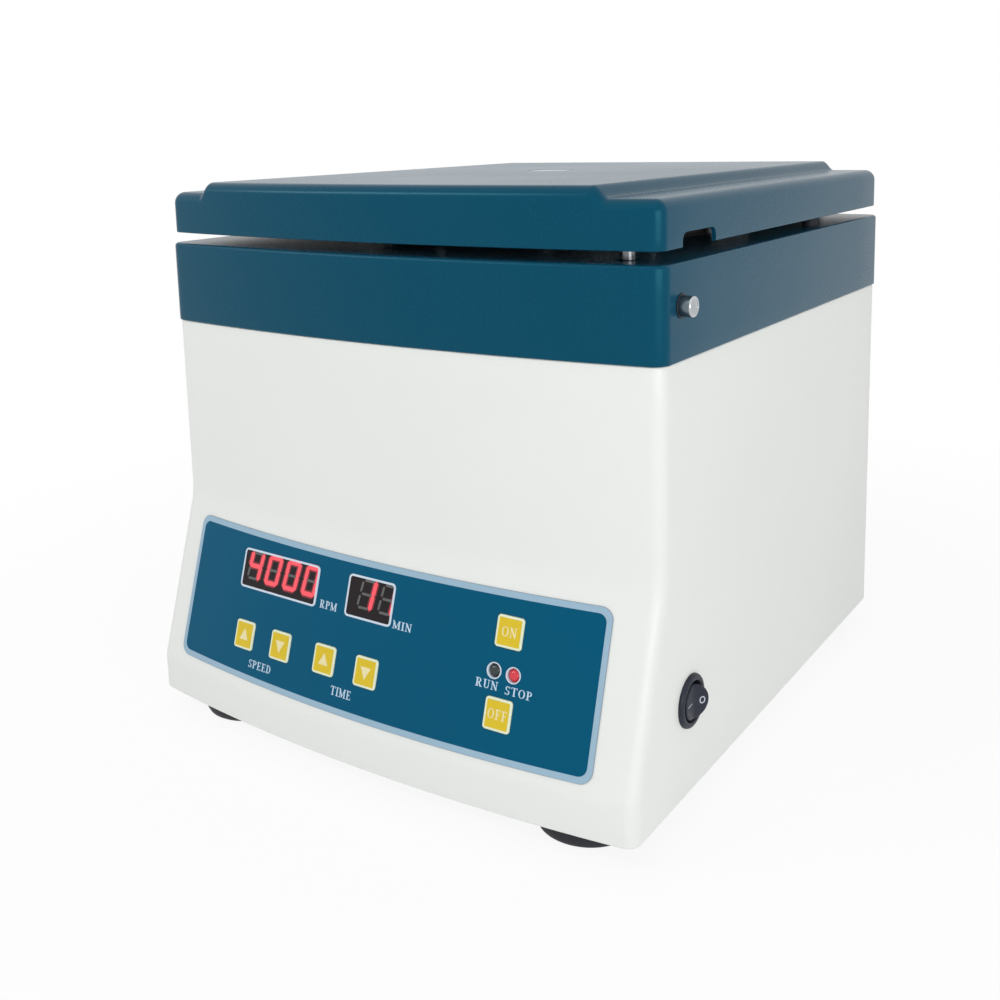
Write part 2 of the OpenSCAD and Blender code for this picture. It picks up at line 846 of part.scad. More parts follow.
module switch_body() {
  color(near_black) translate([switch_x, switch_y, switch_z]) rotate([0, 90, 0]) difference() {
    union() {
      cylinder(r = switch_bezel_r, h = switch_bezel_t);
      translate([0, 0, -switch_deep]) cylinder(r = switch_body_r, h = switch_deep + 1);
    }
    translate([0, 0, 2 - switch_deep]) cylinder(r = switch_well_r, h = switch_deep + switch_bezel_t);
    translate([0, 0, rocker_pivot_x - switch_x]) rotate([0, 90, 0])
      cylinder(r = rocker_pin_r + running, h = 2 * switch_body_r - 0.8, center = true);
  }
}

// Rocker: a round paddle with two slopes, on a cross pin, front end pressed in at rest
module power_rocker() {
  color(near_black) translate([rocker_pivot_x, switch_y, switch_z]) rotate([0, 0, -rocker_tilt]) {
    intersection() {
      rotate([0, 90, 0]) cylinder(r = rocker_r, h = 4 * rocker_rise, center = true);
      linear_extrude(4 * rocker_r, center = true) polygon([
        [-rocker_back, 0.5 - rocker_r], [rocker_rise, -rocker_r], [rocker_rise - 1, 0],
        [rocker_rise, rocker_r], [-rocker_back, rocker_r - 0.5]
      ]);
    }
    cylinder(r = rocker_pin_r, h = 2 * switch_body_r - 1.2, center = true);
  }
}

module power_inlet() {
  rim_w = inlet_w + 2 * inlet_rim;
  rim_h = inlet_h + 2 * inlet_rim;
  color(near_black) translate([inlet_x, back_wall_y, inlet_z]) difference() {
    union() {
      translate([-rim_w / 2, 0, -rim_h / 2]) cube([rim_w, inlet_rim_t, rim_h]);
      translate([-inlet_w / 2, -inlet_deep, -inlet_h / 2]) cube([inlet_w, inlet_deep + 1, inlet_h]);
    }
    translate([inlet_wall - inlet_w / 2, inlet_rim_t - socket_deep, inlet_wall - inlet_h / 2])
      cube([inlet_w - 2 * inlet_wall, socket_deep + 1, inlet_h - 2 * inlet_wall]);
  }
}

module inlet_pins() {
  color("#c9a94a") translate([inlet_x, back_wall_y + inlet_rim_t - socket_deep, inlet_z])
    for (place = [[-7, -2], [0, 2], [7, -2]])
      translate([place[0] - 1, 0, place[1] - 2]) cube([2, 14, 4]);
}

module button_bush() {
  color(near_black) translate([side_x, latch_y, latch_z]) rotate([0, 90, 0]) difference() {
    translate([0, 0, -shell_wall - bush_flange_t]) {
      cylinder(r = bush_flange_r, h = bush_flange_t);
      cylinder(r = bush_r - running, h = shell_wall + bush_flange_t + bush_proud);
    }
    cylinder(r = button_r + running, h = 2 * cut, center = true);
  }
}

// Moulded guide under the deck: a channel for the slide, open above and below the catch
module latch_guide() {
  half_w = slide_w / 2 + slip;
  low_z = latch_z - guide_drop;
  top_z = deck_z - deck_t;
  length = guide_right - guide_left;
  color(near_black) translate([0, latch_y, 0]) difference() {
    translate([guide_left, -half_w - guide_wall, low_z])
      cube([length, 2 * (half_w + guide_wall), top_z - low_z]);
    translate([guide_left + guide_wall, -half_w, latch_z - slide_t / 2 - slip])
      cube([length, 2 * half_w, slide_t + 2 * slip]);
    translate([guide_left + guide_wall, -spring_r - 1.5, latch_z - spring_r - 1])
      cube([length, 2 * spring_r + 3, 2 * spring_r + 2]);
    translate([slide_left, 1.5 - half_w, low_z - 1]) cube([length, 2 * half_w - 3, top_z - low_z + 2]);
  }
}

function spring_point(t) = [
  guide_left + guide_wall + spring_wire_r + 0.1 + t * (spring_len - 2 * spring_wire_r - 0.4),
  spring_r * cos(360 * spring_turns * t),
  spring_r * sin(360 * spring_turns * t)
];

// Compression spring between the guide's end wall and the slide
module latch_spring() {
  count = spring_turns * spring_rings;
  points = [
    for (i = [0:count]) let (
      centre = spring_point(i / count),
      turn = 360 * spring_turns * i / count,
      out = [0, cos(turn), sin(turn)]
    )
    for (k = [0:spring_sides - 1])
      centre + spring_wire_r * (cos(360 * k / spring_sides) * out + [sin(360 * k / spring_sides), 0, 0])
  ];
  function at(i, k) = i * spring_sides + k % spring_sides;
  sides = [
    for (i = [0:count - 1], k = [0:spring_sides - 1])
      each [[at(i, k), at(i, k + 1), at(i + 1, k)], [at(i, k + 1), at(i + 1, k + 1), at(i + 1, k)]]
  ];
  ends = [
    for (k = [1:spring_sides - 2])
      each [[at(0, 0), at(0, k + 1), at(0, k)], [at(count, 0), at(count, k), at(count, k + 1)]]
  ];
  color(steel) translate([0, latch_y, latch_z]) polyhedron(points, concat(sides, ends));
}

module buffer_places(z) {
  for (x = [buffer_inset - side_x, side_x - buffer_inset]) translate([x, buffer_y, z]) children();
}

module lid_buffers() {
  color(near_black) buffer_places(deck_z) rotate_extrude() polygon(concat(
    [[0, 0]],
    [[4, 0]],
    arc(3, lid_gap - slip - 1, 1, 0, 90),
    [[0, lid_gap - slip]]
  ));
}

// Hinge leaf: side 1 is the lid's, side -1 the case's; tongues are the knuckles' spans
module hinge_leaf(side, tongues) {
  for (x = [-hinge_x, hinge_x]) translate([x, 0, hinge_z]) difference() {
    union() {
      translate([-hinge_w / 2, back_y, side > 0 ? leaf_start : -leaf_start - leaf_h])
        cube([hinge_w, leaf_t, leaf_h]);
      for (t = tongues) {
        translate([t, back_y, side > 0 ? 0 : -leaf_start - 1])
          cube([knuckle_w - slip, leaf_t, leaf_start + 1]);
        translate([t, hinge_y, 0]) rotate([0, 90, 0]) cylinder(r = barrel_r, h = knuckle_w - slip);
      }
    }
    translate([-hinge_w, hinge_y, 0]) rotate([0, 90, 0])
      cylinder(r = pin_r + (side > 0 ? running : 0), h = 2 * hinge_w);
    for (dx = [-hinge_screw_x, hinge_screw_x])
      translate([dx, back_y - 1, side * hinge_screw_z]) rotate([-90, 0, 0])
      cylinder(r = screw_r + slip / 2, h = leaf_t + 2);
  }
}

module case_hinge_leaves() {
  color(steel) hinge_leaf(-1, [-hinge_w / 2, hinge_w / 2 - knuckle_w + slip]);
}

module lid_hinge_leaves() {
  color(steel) hinge_leaf(1, [slip / 2 - knuckle_w / 2]);
}

module hinge_pins() {
  color(steel) for (x = [-hinge_x, hinge_x])
    translate([x - hinge_w / 2, hinge_y, hinge_z]) rotate([0, 90, 0]) cylinder(r = pin_r, h = hinge_w);
}

module case_hinge_screws() {
  color(steel) hinge_screw_places(-1) screw(shell_wall + leaf_t + 2);
}

module lid_hinge_screws() {
  color(steel) hinge_screw_places(1) screw(shell_wall + leaf_t + 2);
}

// A flat slab on the case's plan, with its front and back top edges rounded
module edge_slab(h) {
  e = lid_edge_r;
  translate([0, 0, lid_z]) intersection() {
    linear_extrude(h) plan(0);
    translate([0, bow_y, 0]) rotate_extrude($fn = fine_fn)
      polygon(concat([[0, 0], [bow_r, 0]], arc(bow_r - e, h - e, e, 0, 90), [[0, h]]));
    rotate([90, 0, 90]) linear_extrude(2 * case_w, center = true)
      polygon(concat([[-case_d, 0], [back_y, 0]], arc(back_y - e, h - e, e, 0, 90), [[-case_d, h]]));
  }
}

// Lid profile seen from the front: shoulders with round edges, and the raised band
shoulder_edge = arc(side_x - lid_edge_r, shoulder_h - lid_edge_r, lid_edge_r, 0, 90);
function shoulder_half(s) = [
  for (p = concat([[0, 0], [side_x, 0]], shoulder_edge, [[0, shoulder_h]])) [s * p[0], p[1]]
];
band_foot = band_w / 2 + band_slope;
band_edge = [
  for (i = [0:8]) [band_foot - band_slope * i / 8, shoulder_h + band_rise * (1 - cos(180 * i / 8)) / 2]
];
function band_half(s) = [
  for (p = concat([[0, 0], [band_foot, 0]], band_edge, [[0, shoulder_h + band_rise]])) [s * p[0], p[1]]
];

module along_depth() {
  translate([0, 0, lid_z]) rotate([90, 0, 0]) linear_extrude(2 * case_d, center = true) children();
}

module lid_form() {
  intersection() {
    edge_slab(shoulder_h);
    along_depth() {
      polygon(shoulder_half(1));
      polygon(shoulder_half(-1));
    }
  }
  intersection() {
    edge_slab(shoulder_h + band_rise);
    along_depth() {
      polygon(band_half(1));
      polygon(band_half(-1));
    }
  }
}

module lid_hollow() {
  band_in = band_w - 2 * shell_wall;
  translate([0, 0, lid_z - 1]) linear_extrude(shoulder_h - shell_wall + 1) plan(shell_wall);
  translate([0, 0, lid_z - 1]) intersection() {
    linear_extrude(shoulder_h + band_rise - shell_wall + 1) plan(shell_wall + 2);
    translate([-band_in / 2, -case_d, 0]) cube([band_in, 2 * case_d, 2 * shoulder_h]);
  }
}

module finger_notch() {
  round_r = 3.5;
  translate([side_x - 3 * shell_wall, front_y + notch_back, lid_z]) rotate([90, 0, 90])
    linear_extrude(6 * shell_wall) {
      translate([-notch_w / 2, -1]) square([notch_w, notch_h - round_r + 1]);
      translate([round_r - notch_w / 2, 0]) square([notch_w - 2 * round_r, notch_h]);
      for (x = [round_r - notch_w / 2, notch_w / 2 - round_r])
        translate([x, notch_h - round_r]) circle(round_r);
    }
}

module lid_shell() {
  roof = lid_top - shell_wall;
  liner_top = lid_z + liner_lift + liner_t;
  boss_h = roof + 1 - liner_top;
  strike_seat = lid_z + liner_lift + rim_t;
  color(teal) difference() {
    union() {
      difference() {
        lid_form();
        lid_hollow();
      }
      at_axis(liner_top) at_liner_screws() cylinder(r = boss_r, h = boss_h);
      at_axis(liner_top) cylinder(r = port_r + 3, h = boss_h);
      translate([strike_x, latch_y, strike_seat])
        cylinder(r = strike_r + 4, h = shoulder_z - shell_wall + 1 - strike_seat);
      buffer_places(lid_z) cylinder(r = boss_r, h = shoulder_h - shell_wall + 1);
      hinge_pads(hinge_z + leaf_start);
    }
    finger_notch();
    at_axis(lid_z) cylinder(r = port_r - port_ledge, h = 2 * shoulder_h);
    at_axis(lid_top - port_deep) cylinder(r = port_r + running, h = port_deep + 1);
    at_axis(liner_top - 1) at_liner_screws() cylinder(r = screw_r, h = liner_screw_len + 1);
    translate([strike_x, latch_y, strike_seat - 1]) cylinder(r = strike_r, h = 9);
    hinge_screw_places(1) translate([0, 0, -cut]) cylinder(r = screw_r, h = cut);
  }
}

module lid_liner() {
  color(steel) at_axis(lid_z + liner_lift) difference() {
    cylinder(r = liner_r, h = liner_t);
    translate([0, 0, -1]) cylinder(r = port_r, h = liner_t + 2);
    translate([0, 0, -1]) at_liner_screws() cylinder(r = screw_r + slip / 2, h = liner_t + 2);
  }
}

module liner_screws() {
  color(steel) at_axis(lid_z + liner_lift)
    at_liner_screws() mirror([0, 0, 1]) screw(liner_t + liner_screw_len - 1);
}

module sight_window() {
  color("#9fb4bb") at_axis(lid_top - port_deep) cylinder(r = port_r, h = port_t);
}

// Striker: a pin under the lid with a neck that the slide's catch sits in
module latch_striker() {
  seat = lid_z + liner_lift + rim_t;
  neck_low = latch_z - slide_t / 2 - 0.4;
  neck_high = latch_z + slide_t / 2 + 0.4;
  color(steel) translate([strike_x, latch_y, 0]) rotate_extrude() polygon([
    [0, neck_low - strike_tip], [strike_r - 1.5, neck_low - strike_tip], [strike_r, neck_low - 1.5],
    [strike_r, neck_low], [strike_neck_r, neck_low], [strike_neck_r, neck_high], [strike_r, neck_high],
    [strike_r, seat - rim_t], [strike_r + 3, seat - rim_t], [strike_r + 3, seat], [strike_r - running, seat],
    [strike_r - running, seat + strike_root], [0, seat + strike_root]
  ]);
}

// Release button, its stem and the slide that catches the striker, in one piece
module release_button() {
  tip_x = side_x + button_proud;
  dome = 1.6;
  color(steel) translate([0, latch_y, latch_z]) difference() {
    union() {
      rotate([0, 90, 0]) rotate_extrude() polygon(concat(
        [[0, cap_left], [button_r, cap_left]],
        arc(button_r - dome, tip_x - dome, dome, 0, 90),
        [[0, tip_x]]
      ));
      rotate([0, 90, 0]) translate([0, 0, slide_right - 1])
        cylinder(r = slide_t / 2, h = cap_left - slide_right + 2);
      translate([slide_left, -slide_w / 2, -slide_t / 2])
        cube([slide_right - slide_left, slide_w, slide_t]);
    }
    translate([strike_x - strike_r + catch_bite, -strike_r - 1.6, -slide_t])
      cube([2 * strike_r - catch_bite + latch_travel + slip, 2 * strike_r + 3.2, 2 * slide_t]);
  }
}

module at_tubes() {
  at_axis(tube_top_z) ring_of(tube_count, tube_top_r) rotate([0, -tube_tilt, 0]) children();
}

module rotor_head() {
  low = dish_t / cos(tube_tilt);
  edge_top = dish_at(dish_edge_r);
  bore_r = shaft_r + running;
  color("#c8ccd0") difference() {
    at_axis(0) rotate_extrude() polygon([
      [bore_r, rotor_seat], [hub_r, rotor_seat], [hub_r, hub_top - low], [dish_edge_r, edge_top - low],
      [dish_edge_r, edge_top], [hub_r, hub_top], [bore_r, hub_top]
    ]);
    at_tubes() translate([0, 0, -2 * dish_t]) cylinder(r = tube_r + slip / 2, h = 2 * dish_t);
    at_tubes() translate([0, 0, -rim_t]) cylinder(r = rim_r + slip, h = seat_cut);
  }
}

module tube_sleeves() {
  color("#7d8890") at_tubes() difference() {
    union() {
      translate([0, 0, -tube_len]) cylinder(r = tube_r, h = tube_len);
      translate([0, 0, -rim_t]) cylinder(r = rim_r, h = rim_t);
    }
    translate([0, 0, tube_wall - tube_len]) cylinder(r = tube_r - tube_wall, h = tube_len);
  }
}

module rotor_nut() {
  color(steel) at_axis(hub_top) difference() {
    union() {
      cylinder(r = nut_r, h = nut_h, $fn = 6);
      translate([0, 0, nut_h]) cylinder(r1 = nut_r - 2, r2 = nut_r - 5, h = 3);
    }
    translate([0, 0, -1]) cylinder(r = stud_r + running, h = stud_h + 1.5);
  }
}

module motor_shaft() {
  low_z = low_bearing_z + slip;
  color(steel) at_axis(0) rotate_extrude() polygon([
    [0, low_z], [shaft_r, low_z], [shaft_r, rotor_seat - 4], [shaft_r + 4, rotor_seat - 4],
    [shaft_r + 4, rotor_seat], [shaft_r, rotor_seat], [shaft_r, hub_top - slip], [stud_r, hub_top - slip],
    [stud_r, hub_top + stud_h], [0, hub_top + stud_h]
  ]);
}

module armature() {
  color("#9a5a30") at_axis(can_z + stator_margin)
    tube(stator_in - air_gap, shaft_r + running, motor_h - 2 * stator_margin);
}

// Key: a cap in the panel's hole, a flange behind the wall and a stem to its switch
module key(place) {
  seat = -housing_wall - slip;
  color(key_yellow) at_panel(place) {
    translate([0, 0, seat - 0.5]) linear_extrude(overlay_face + key_proud + 0.5 - seat)
      square([key_w, key_h], center = true);
    translate([0, 0, seat - key_flange_t]) linear_extrude(key_flange_t)
      square([key_w + 2 * key_flange, key_h + 2 * key_flange], center = true);
    translate([0, 0, -stem_end]) cylinder(r = key_stem_r, h = stem_end + seat - 0.5);
  }
}

module speed_up_key() {
  key(key_places[0]);
}

module speed_down_key() {
  key(key_places[1]);
}

module time_up_key() {
  key(key_places[2]);
}

module time_down_key() {
  key(key_places[3]);
}

module start_key() {
  key(key_places[4]);
}

module stop_key() {
  key(key_places[5]);
}

// Moves the case so that the origin is under the middle of the outline
module place() {
  translate([0, -mid_y, 0]) children();
}

place() housing();
place() base_plate();
place() foot_front_left();
place() foot_front_right();
place() foot_rear_left();
place() foot_rear_right();
place() chassis_screws();
place() collar();
place() chamber_bowl();
place() chamber_gasket();
place() bowl_screws();
place() shaft_grommet();
place() motor_can();
place() motor_top_cap();
place() motor_base_cap();
place() motor_bearings();
place() stator();
place() motor_plate();
place() motor_dampers();
place() motor_screws();
place() control_overlay();
place() speed_window();
place() timer_window();
place() speed_display();
place() timer_display();
place() run_lamp();
place() stop_lamp();
place() control_board();
place() power_board();
place() transformer();
place() switch_body();
place() power_inlet();
place() inlet_pins();
place() button_bush();
place() latch_guide();
place() latch_spring();
place() lid_buffers();
place() case_hinge_leaves();
place() hinge_pins();
place() case_hinge_screws();
place() lid_shell();
place() lid_liner();
place() liner_screws();
place() sight_window();
place() latch_striker();
place() lid_hinge_leaves();
place() lid_hinge_screws();
place() rotor_head();
place() tube_sleeves();
place() rotor_nut();
place() motor_shaft();
place() armature();
place() power_rocker();
place() release_button();
place() speed_up_key();
place() speed_down_key();
place() time_up_key();
place() time_down_key();
place() start_key();
place() stop_key();
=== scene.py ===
# Benchtop centrifuge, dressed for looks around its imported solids.
# Sizes are in millimetres in the part's own frame; a piece is scaled to metres when it is made.
import math

import bmesh
import bpy
from mathutils import Matrix, Vector


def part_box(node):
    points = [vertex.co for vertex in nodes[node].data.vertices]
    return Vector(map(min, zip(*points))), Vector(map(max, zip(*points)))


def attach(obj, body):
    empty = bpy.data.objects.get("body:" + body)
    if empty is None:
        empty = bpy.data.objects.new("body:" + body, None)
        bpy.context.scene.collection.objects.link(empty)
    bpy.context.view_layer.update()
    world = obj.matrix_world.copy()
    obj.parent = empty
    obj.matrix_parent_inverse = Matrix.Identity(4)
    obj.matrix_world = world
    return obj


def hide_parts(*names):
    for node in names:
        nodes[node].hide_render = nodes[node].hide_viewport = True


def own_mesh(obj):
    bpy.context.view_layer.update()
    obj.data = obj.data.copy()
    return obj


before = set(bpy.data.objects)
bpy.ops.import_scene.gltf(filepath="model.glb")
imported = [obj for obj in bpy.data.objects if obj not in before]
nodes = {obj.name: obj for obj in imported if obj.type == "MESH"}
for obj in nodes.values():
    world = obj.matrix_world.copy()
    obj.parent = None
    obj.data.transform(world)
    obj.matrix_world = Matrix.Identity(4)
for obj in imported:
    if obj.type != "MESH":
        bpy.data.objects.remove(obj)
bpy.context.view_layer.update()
scene = bpy.context.scene
scene.view_settings.view_transform = "Standard"

# Camera
# It stands in front of the right corner a little above the lid, and looks slightly down.
# The frame is shifted, so the case sits low in it and its upright edges nearly stay upright.
ahead = Vector((-0.55195, 0.81793, -0.16231)).normalized()
across = Vector((0.83084, 0.55602, -0.02343))
across = (across - ahead * across.dot(ahead)).normalized()
lens = bpy.data.cameras.new("camera")
lens.sensor_width = 36
lens.lens = 42.243
lens.shift_x = -0.0043
lens.shift_y = -0.1766
camera = bpy.data.objects.new("camera", lens)
turn = Matrix((across, across.cross(ahead), -ahead)).transposed()
camera.matrix_world = Matrix.Translation((0.33006, -0.51674, 0.28961)) @ turn.to_4x4()
scene.collection.objects.link(camera)
scene.camera = camera


# Floor and room
# A plain pale floor runs out to a white room. The eye and mirror-like surfaces see white, and the
# floor keeps a soft shadow under the case.
def wire(tree, start, end):
    tree.links.new(start, end)


def seen_directly(tree):
    """One for rays from the eye, from mirror-like surfaces and through glass, and none for light."""
    path = tree.nodes.new("ShaderNodeLightPath")
    seen = path.outputs["Is Camera Ray"]
    for kind in ("Is Glossy Ray", "Is Transmission Ray"):
        larger = tree.nodes.new("ShaderNodeMath")
        larger.operation = "MAXIMUM"
        wire(tree, seen, larger.inputs[0])
        wire(tree, path.outputs[kind], larger.inputs[1])
        seen = larger.outputs[0]
    return seen


room = bpy.data.worlds.new("white_room")
scene.world = room
room.use_nodes = True
glow = room.node_tree.nodes["Background"]
glow.inputs["Color"].default_value = (1.0, 1.0, 1.0, 1)
level = room.node_tree.nodes.new("ShaderNodeMapRange")
level.inputs["To Min"].default_value = 0.48
level.inputs["To Max"].default_value = 1.0
wire(room.node_tree, seen_directly(room.node_tree), level.inputs["Value"])
wire(room.node_tree, level.outputs["Result"], glow.inputs["Strength"])

floor_finish = bpy.data.materials.new("floor")
floor_finish.use_nodes = True
floor_tree = floor_finish.node_tree
matt = floor_tree.nodes["Principled BSDF"]
matt.inputs["Base Color"].default_value = (0.96, 0.96, 0.95, 1)
matt.inputs["Roughness"].default_value = 0.9
matt.inputs["Specular IOR Level"].default_value = 0.1
white = floor_tree.nodes.new("ShaderNodeEmission")
place = floor_tree.nodes.new("ShaderNodeTexCoord")
distance = floor_tree.nodes.new("ShaderNodeVectorMath")
distance.operation = "LENGTH"
wire(floor_tree, place.outputs["Object"], distance.inputs[0])
whiter = floor_tree.nodes.new("ShaderNodeMapRange")
whiter.inputs["From Min"].default_value = 0.2
whiter.inputs["From Max"].default_value = 0.6
whiter.inputs["To Min"].default_value = 0.9
wire(floor_tree, distance.outputs["Value"], whiter.inputs["Value"])
share = floor_tree.nodes.new("ShaderNodeMath")
share.operation = "MULTIPLY"
wire(floor_tree, seen_directly(floor_tree), share.inputs[0])
wire(floor_tree, whiter.outputs["Result"], share.inputs[1])
blend = floor_tree.nodes.new("ShaderNodeMixShader")
wire(floor_tree, share.outputs[0], blend.inputs["Fac"])
wire(floor_tree, matt.outputs["BSDF"], blend.inputs[1])
wire(floor_tree, white.outputs["Emission"], blend.inputs[2])
wire(floor_tree, blend.outputs["Shader"], floor_tree.nodes["Material Output"].inputs["Surface"])
floor_mesh = bpy.data.meshes.new("floor")
reach = 30.0
floor_corners = [(x * reach, y * reach, 0) for x, y in ((-1, -1), (1, -1), (1, 1), (-1, 1))]
floor_mesh.from_pydata(floor_corners, [], [(0, 1, 2, 3)])
floor_mesh.materials.append(floor_finish)
floor = bpy.data.objects.new("floor", floor_mesh)
scene.collection.objects.link(floor)

# Lamps
# A long strip at the left, which draws a thin light along the teal edges, a large soft box overhead
# and in front, and a smaller one low at the right.
for name, place, aim, wide, tall, watts in (
    ("left_strip", (-1.05, -1.05, 1.0), (-1.05, 0, 0.3), 1.3, 0.07, 8.0),
    ("overhead_box", (0.2, -0.7, 1.9), (0, 0, 0.13), 1.8, 1.8, 4.6),
    ("right_box", (1.15, -0.8, 0.36), (0, 0, 0.08), 0.9, 0.5, 7.5),
):
    box_light = bpy.data.lights.new(name, "AREA")
    box_light.shape = "RECTANGLE"
    box_light.size = wide
    box_light.size_y = tall
    box_light.energy = watts
    lamp = bpy.data.objects.new(name, box_light)
    lamp.visible_camera = False
    lamp.location = place
    lamp.rotation_euler = (Vector(aim) - Vector(place)).to_track_quat("-Z", "Y").to_euler()
    scene.collection.objects.link(lamp)


# Housing
# A painted case with flat sides and a front on one large arc; below a soft crease the front slopes
# out to a short skirt. It is open at the top and bottom, and cut for the panel, switch and inlet.
mm = 0.001
quarter_turn = math.pi / 2


def paint_tone(red, green, blue):
    """A colour of a paint chart, in steps of 255, as the shader takes it."""
    shares = [step / 255 for step in (red, green, blue)]
    return (*[c / 12.92 if c <= 0.04045 else ((c + 0.055) / 1.055) ** 2.4 for c in shares], 1)


def surface_group(name, scales):
    """Starts a group that takes two tones, some scales and two levels of gloss, and gives a surface."""
    group = bpy.data.node_groups.new(name, "ShaderNodeTree")
    kinds = {"Tone": "Color", "Drift": "Color", "Colour": "Color"}
    for label in ("Tone", "Drift", *scales, "Smooth", "Rough"):
        kind = "NodeSocket" + kinds.get(label, "Float")
        group.interface.new_socket(label, in_out="INPUT", socket_type=kind)
    for label in ("Colour", "Roughness", "Height"):
        kind = "NodeSocket" + kinds.get(label, "Float")
        group.interface.new_socket(label, in_out="OUTPUT", socket_type=kind)
    return group, group.nodes.new("NodeGroupInput")


def close_group(group, given, tone_mask, gloss_mask, height):
    """Mixes the tones and the levels of gloss by their masks, and wires what the group gives."""
    first_colour, second_colour, mixed_colour = 6, 7, 2
    tone_mix = group.nodes.new("ShaderNodeMix")
    tone_mix.data_type = "RGBA"
    wire(group, tone_mask, tone_mix.inputs["Factor"])
    wire(group, given.outputs["Tone"], tone_mix.inputs[first_colour])
    wire(group, given.outputs["Drift"], tone_mix.inputs[second_colour])
    polish = group.nodes.new("ShaderNodeMapRange")
    polish.inputs["From Min"].default_value = 0.3
    polish.inputs["From Max"].default_value = 0.7
    wire(group, gloss_mask, polish.inputs["Value"])
    wire(group, given.outputs["Smooth"], polish.inputs["To Min"])
    wire(group, given.outputs["Rough"], polish.inputs["To Max"])
    result = group.nodes.new("NodeGroupOutput")
    wire(group, tone_mix.outputs[mixed_colour], result.inputs["Colour"])
    wire(group, polish.outputs["Result"], result.inputs["Roughness"])
    wire(group, height, result.inputs["Height"])


surface, given = surface_group("moulded_surface", ("Broad", "Fine"))
spot = surface.nodes.new("ShaderNodeTexCoord")
broad = surface.nodes.new("ShaderNodeTexNoise")
broad.inputs["Detail"].default_value = 3
fine = surface.nodes.new("ShaderNodeTexNoise")
fine.inputs["Detail"].default_value = 2
wire(surface, spot.outputs["Object"], broad.inputs["Vector"])
wire(surface, spot.outputs["Object"], fine.inputs["Vector"])
wire(surface, given.outputs["Broad"], broad.inputs["Scale"])
wire(surface, given.outputs["Fine"], fine.inputs["Scale"])
patches = surface.nodes.new("ShaderNodeMath")
patches.operation = "MULTIPLY_ADD"
patches.inputs[1].default_value = 0.5
wire(surface, broad.outputs["Fac"], patches.inputs[0])
half = surface.nodes.new("ShaderNodeMath")
half.operation = "MULTIPLY"
half.inputs[1].default_value = 0.5
wire(surface, fine.outputs["Fac"], half.inputs[0])
wire(surface, half.outputs[0], patches.inputs[2])
close_group(surface, given, broad.outputs["Fac"], patches.outputs[0], fine.outputs["Fac"])


def finish(name, group, values, grain, **sockets):
    """A finish from one of the surface groups; grain is the depth of its bumps in millimetres."""
    made = bpy.data.materials.new(name)
    made.use_nodes = True
    tree = made.node_tree
    shader = tree.nodes["Principled BSDF"]
    look = tree.nodes.new("ShaderNodeGroup")
    look.node_tree = group
    for label, value in values.items():
        look.inputs[label].default_value = value
    wire(tree, look.outputs["Colour"], shader.inputs["Base Color"])
    wire(tree, look.outputs["Roughness"], shader.inputs["Roughness"])
    bump = tree.nodes.new("ShaderNodeBump")
    bump.inputs["Distance"].default_value = grain * mm
    wire(tree, look.outputs["Height"], bump.inputs["Height"])
    wire(tree, bump.outputs["Normal"], shader.inputs["Normal"])
    for label, value in sockets.items():
        shader.inputs[label.replace("_", " ")].default_value = value
    return made


def moulded(name, tone, drift, broad=25, fine=900, smooth=0.3, rough=0.4, grain=0.01, **sockets):
    """Paint, plastic, rubber or plain metal: broad patches of tone, and a fine grain."""
    values = {
        "Tone": paint_tone(*tone), "Drift": paint_tone(*drift), "Broad": broad, "Fine": fine,
        "Smooth": smooth, "Rough": rough,
    }
    return finish(name, surface, values, grain, **sockets)


def new_piece(name, points, faces, finishes, body, slot, tints=None, sharp=35):
    """Makes a piece from points in millimetres, with one finish per face if tints says so."""
    mesh = bpy.data.meshes.new(name)
    mesh.from_pydata([Vector(p) * mm for p in points], [], faces)
    for one in finishes:
        mesh.materials.append(one)
    if tints:
        mesh.polygons.foreach_set("material_index", tints)
    piece = bpy.data.objects.new(name, mesh)
    scene.collection.objects.link(piece)
    shade(mesh, sharp)
    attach(piece, body)
    return piece


def shade(mesh, sharp):
    """Turns the faces outward and shades them smooth up to an angle in degrees."""
    work = bmesh.new()
    work.from_mesh(mesh)
    bmesh.ops.recalc_face_normals(work, faces=work.faces)
    work.to_mesh(mesh)
    work.free()
    mesh.polygons.foreach_set("use_smooth", [True] * len(mesh.polygons))
    mesh.set_sharp_from_angle(angle=math.radians(sharp))


def loft(rings, closed=False):
    """Skins rings of equal length with quads; a loft that isn't closed gets flat ends."""
    count = len(rings[0])
    points = [p for ring in rings for p in ring]
    faces = []
    for i in range(len(rings) if closed else len(rings) - 1):
        low, high = i * count, (i + 1) % len(rings) * count
        for k in range(count):
            n = (k + 1) % count
            faces.append((low + k, low + n, high + n, high + k))
    if not closed:
        faces.append(tuple(range(count)))
        faces.append(tuple(range((len(rings) - 1) * count, len(rings) * count)))
    return points, faces


def joined(shapes):
    """Several shapes as one list of points and one of faces."""
    points, faces = [], []
    for more_points, more_faces in shapes:
        faces += [tuple(k + len(points) for k in face) for face in more_faces]
        points += more_points
    return points, faces


def cut_out(piece, shapes, sharp=35):
    """Takes closed shapes out of a piece."""
    points, faces = joined(shapes)
    mesh = bpy.data.meshes.new("cutter")
    mesh.from_pydata([Vector(p) * mm for p in points], [], faces)
    shade(mesh, sharp)
    cutter = bpy.data.objects.new("cutter", mesh)
    scene.collection.objects.link(cutter)
    saw = piece.modifiers.new("cut", "BOOLEAN")
    saw.operation = "DIFFERENCE"
    saw.solver = "EXACT"
    saw.object = cutter
    depsgraph = bpy.context.evaluated_depsgraph_get()
    done = bpy.data.meshes.new_from_object(piece.evaluated_get(depsgraph))
    piece.modifiers.clear()
    old = piece.data
    done.name = old.name
    piece.data = done
    bpy.data.meshes.remove(old)
    bpy.data.objects.remove(cutter)
    shade(done, sharp)


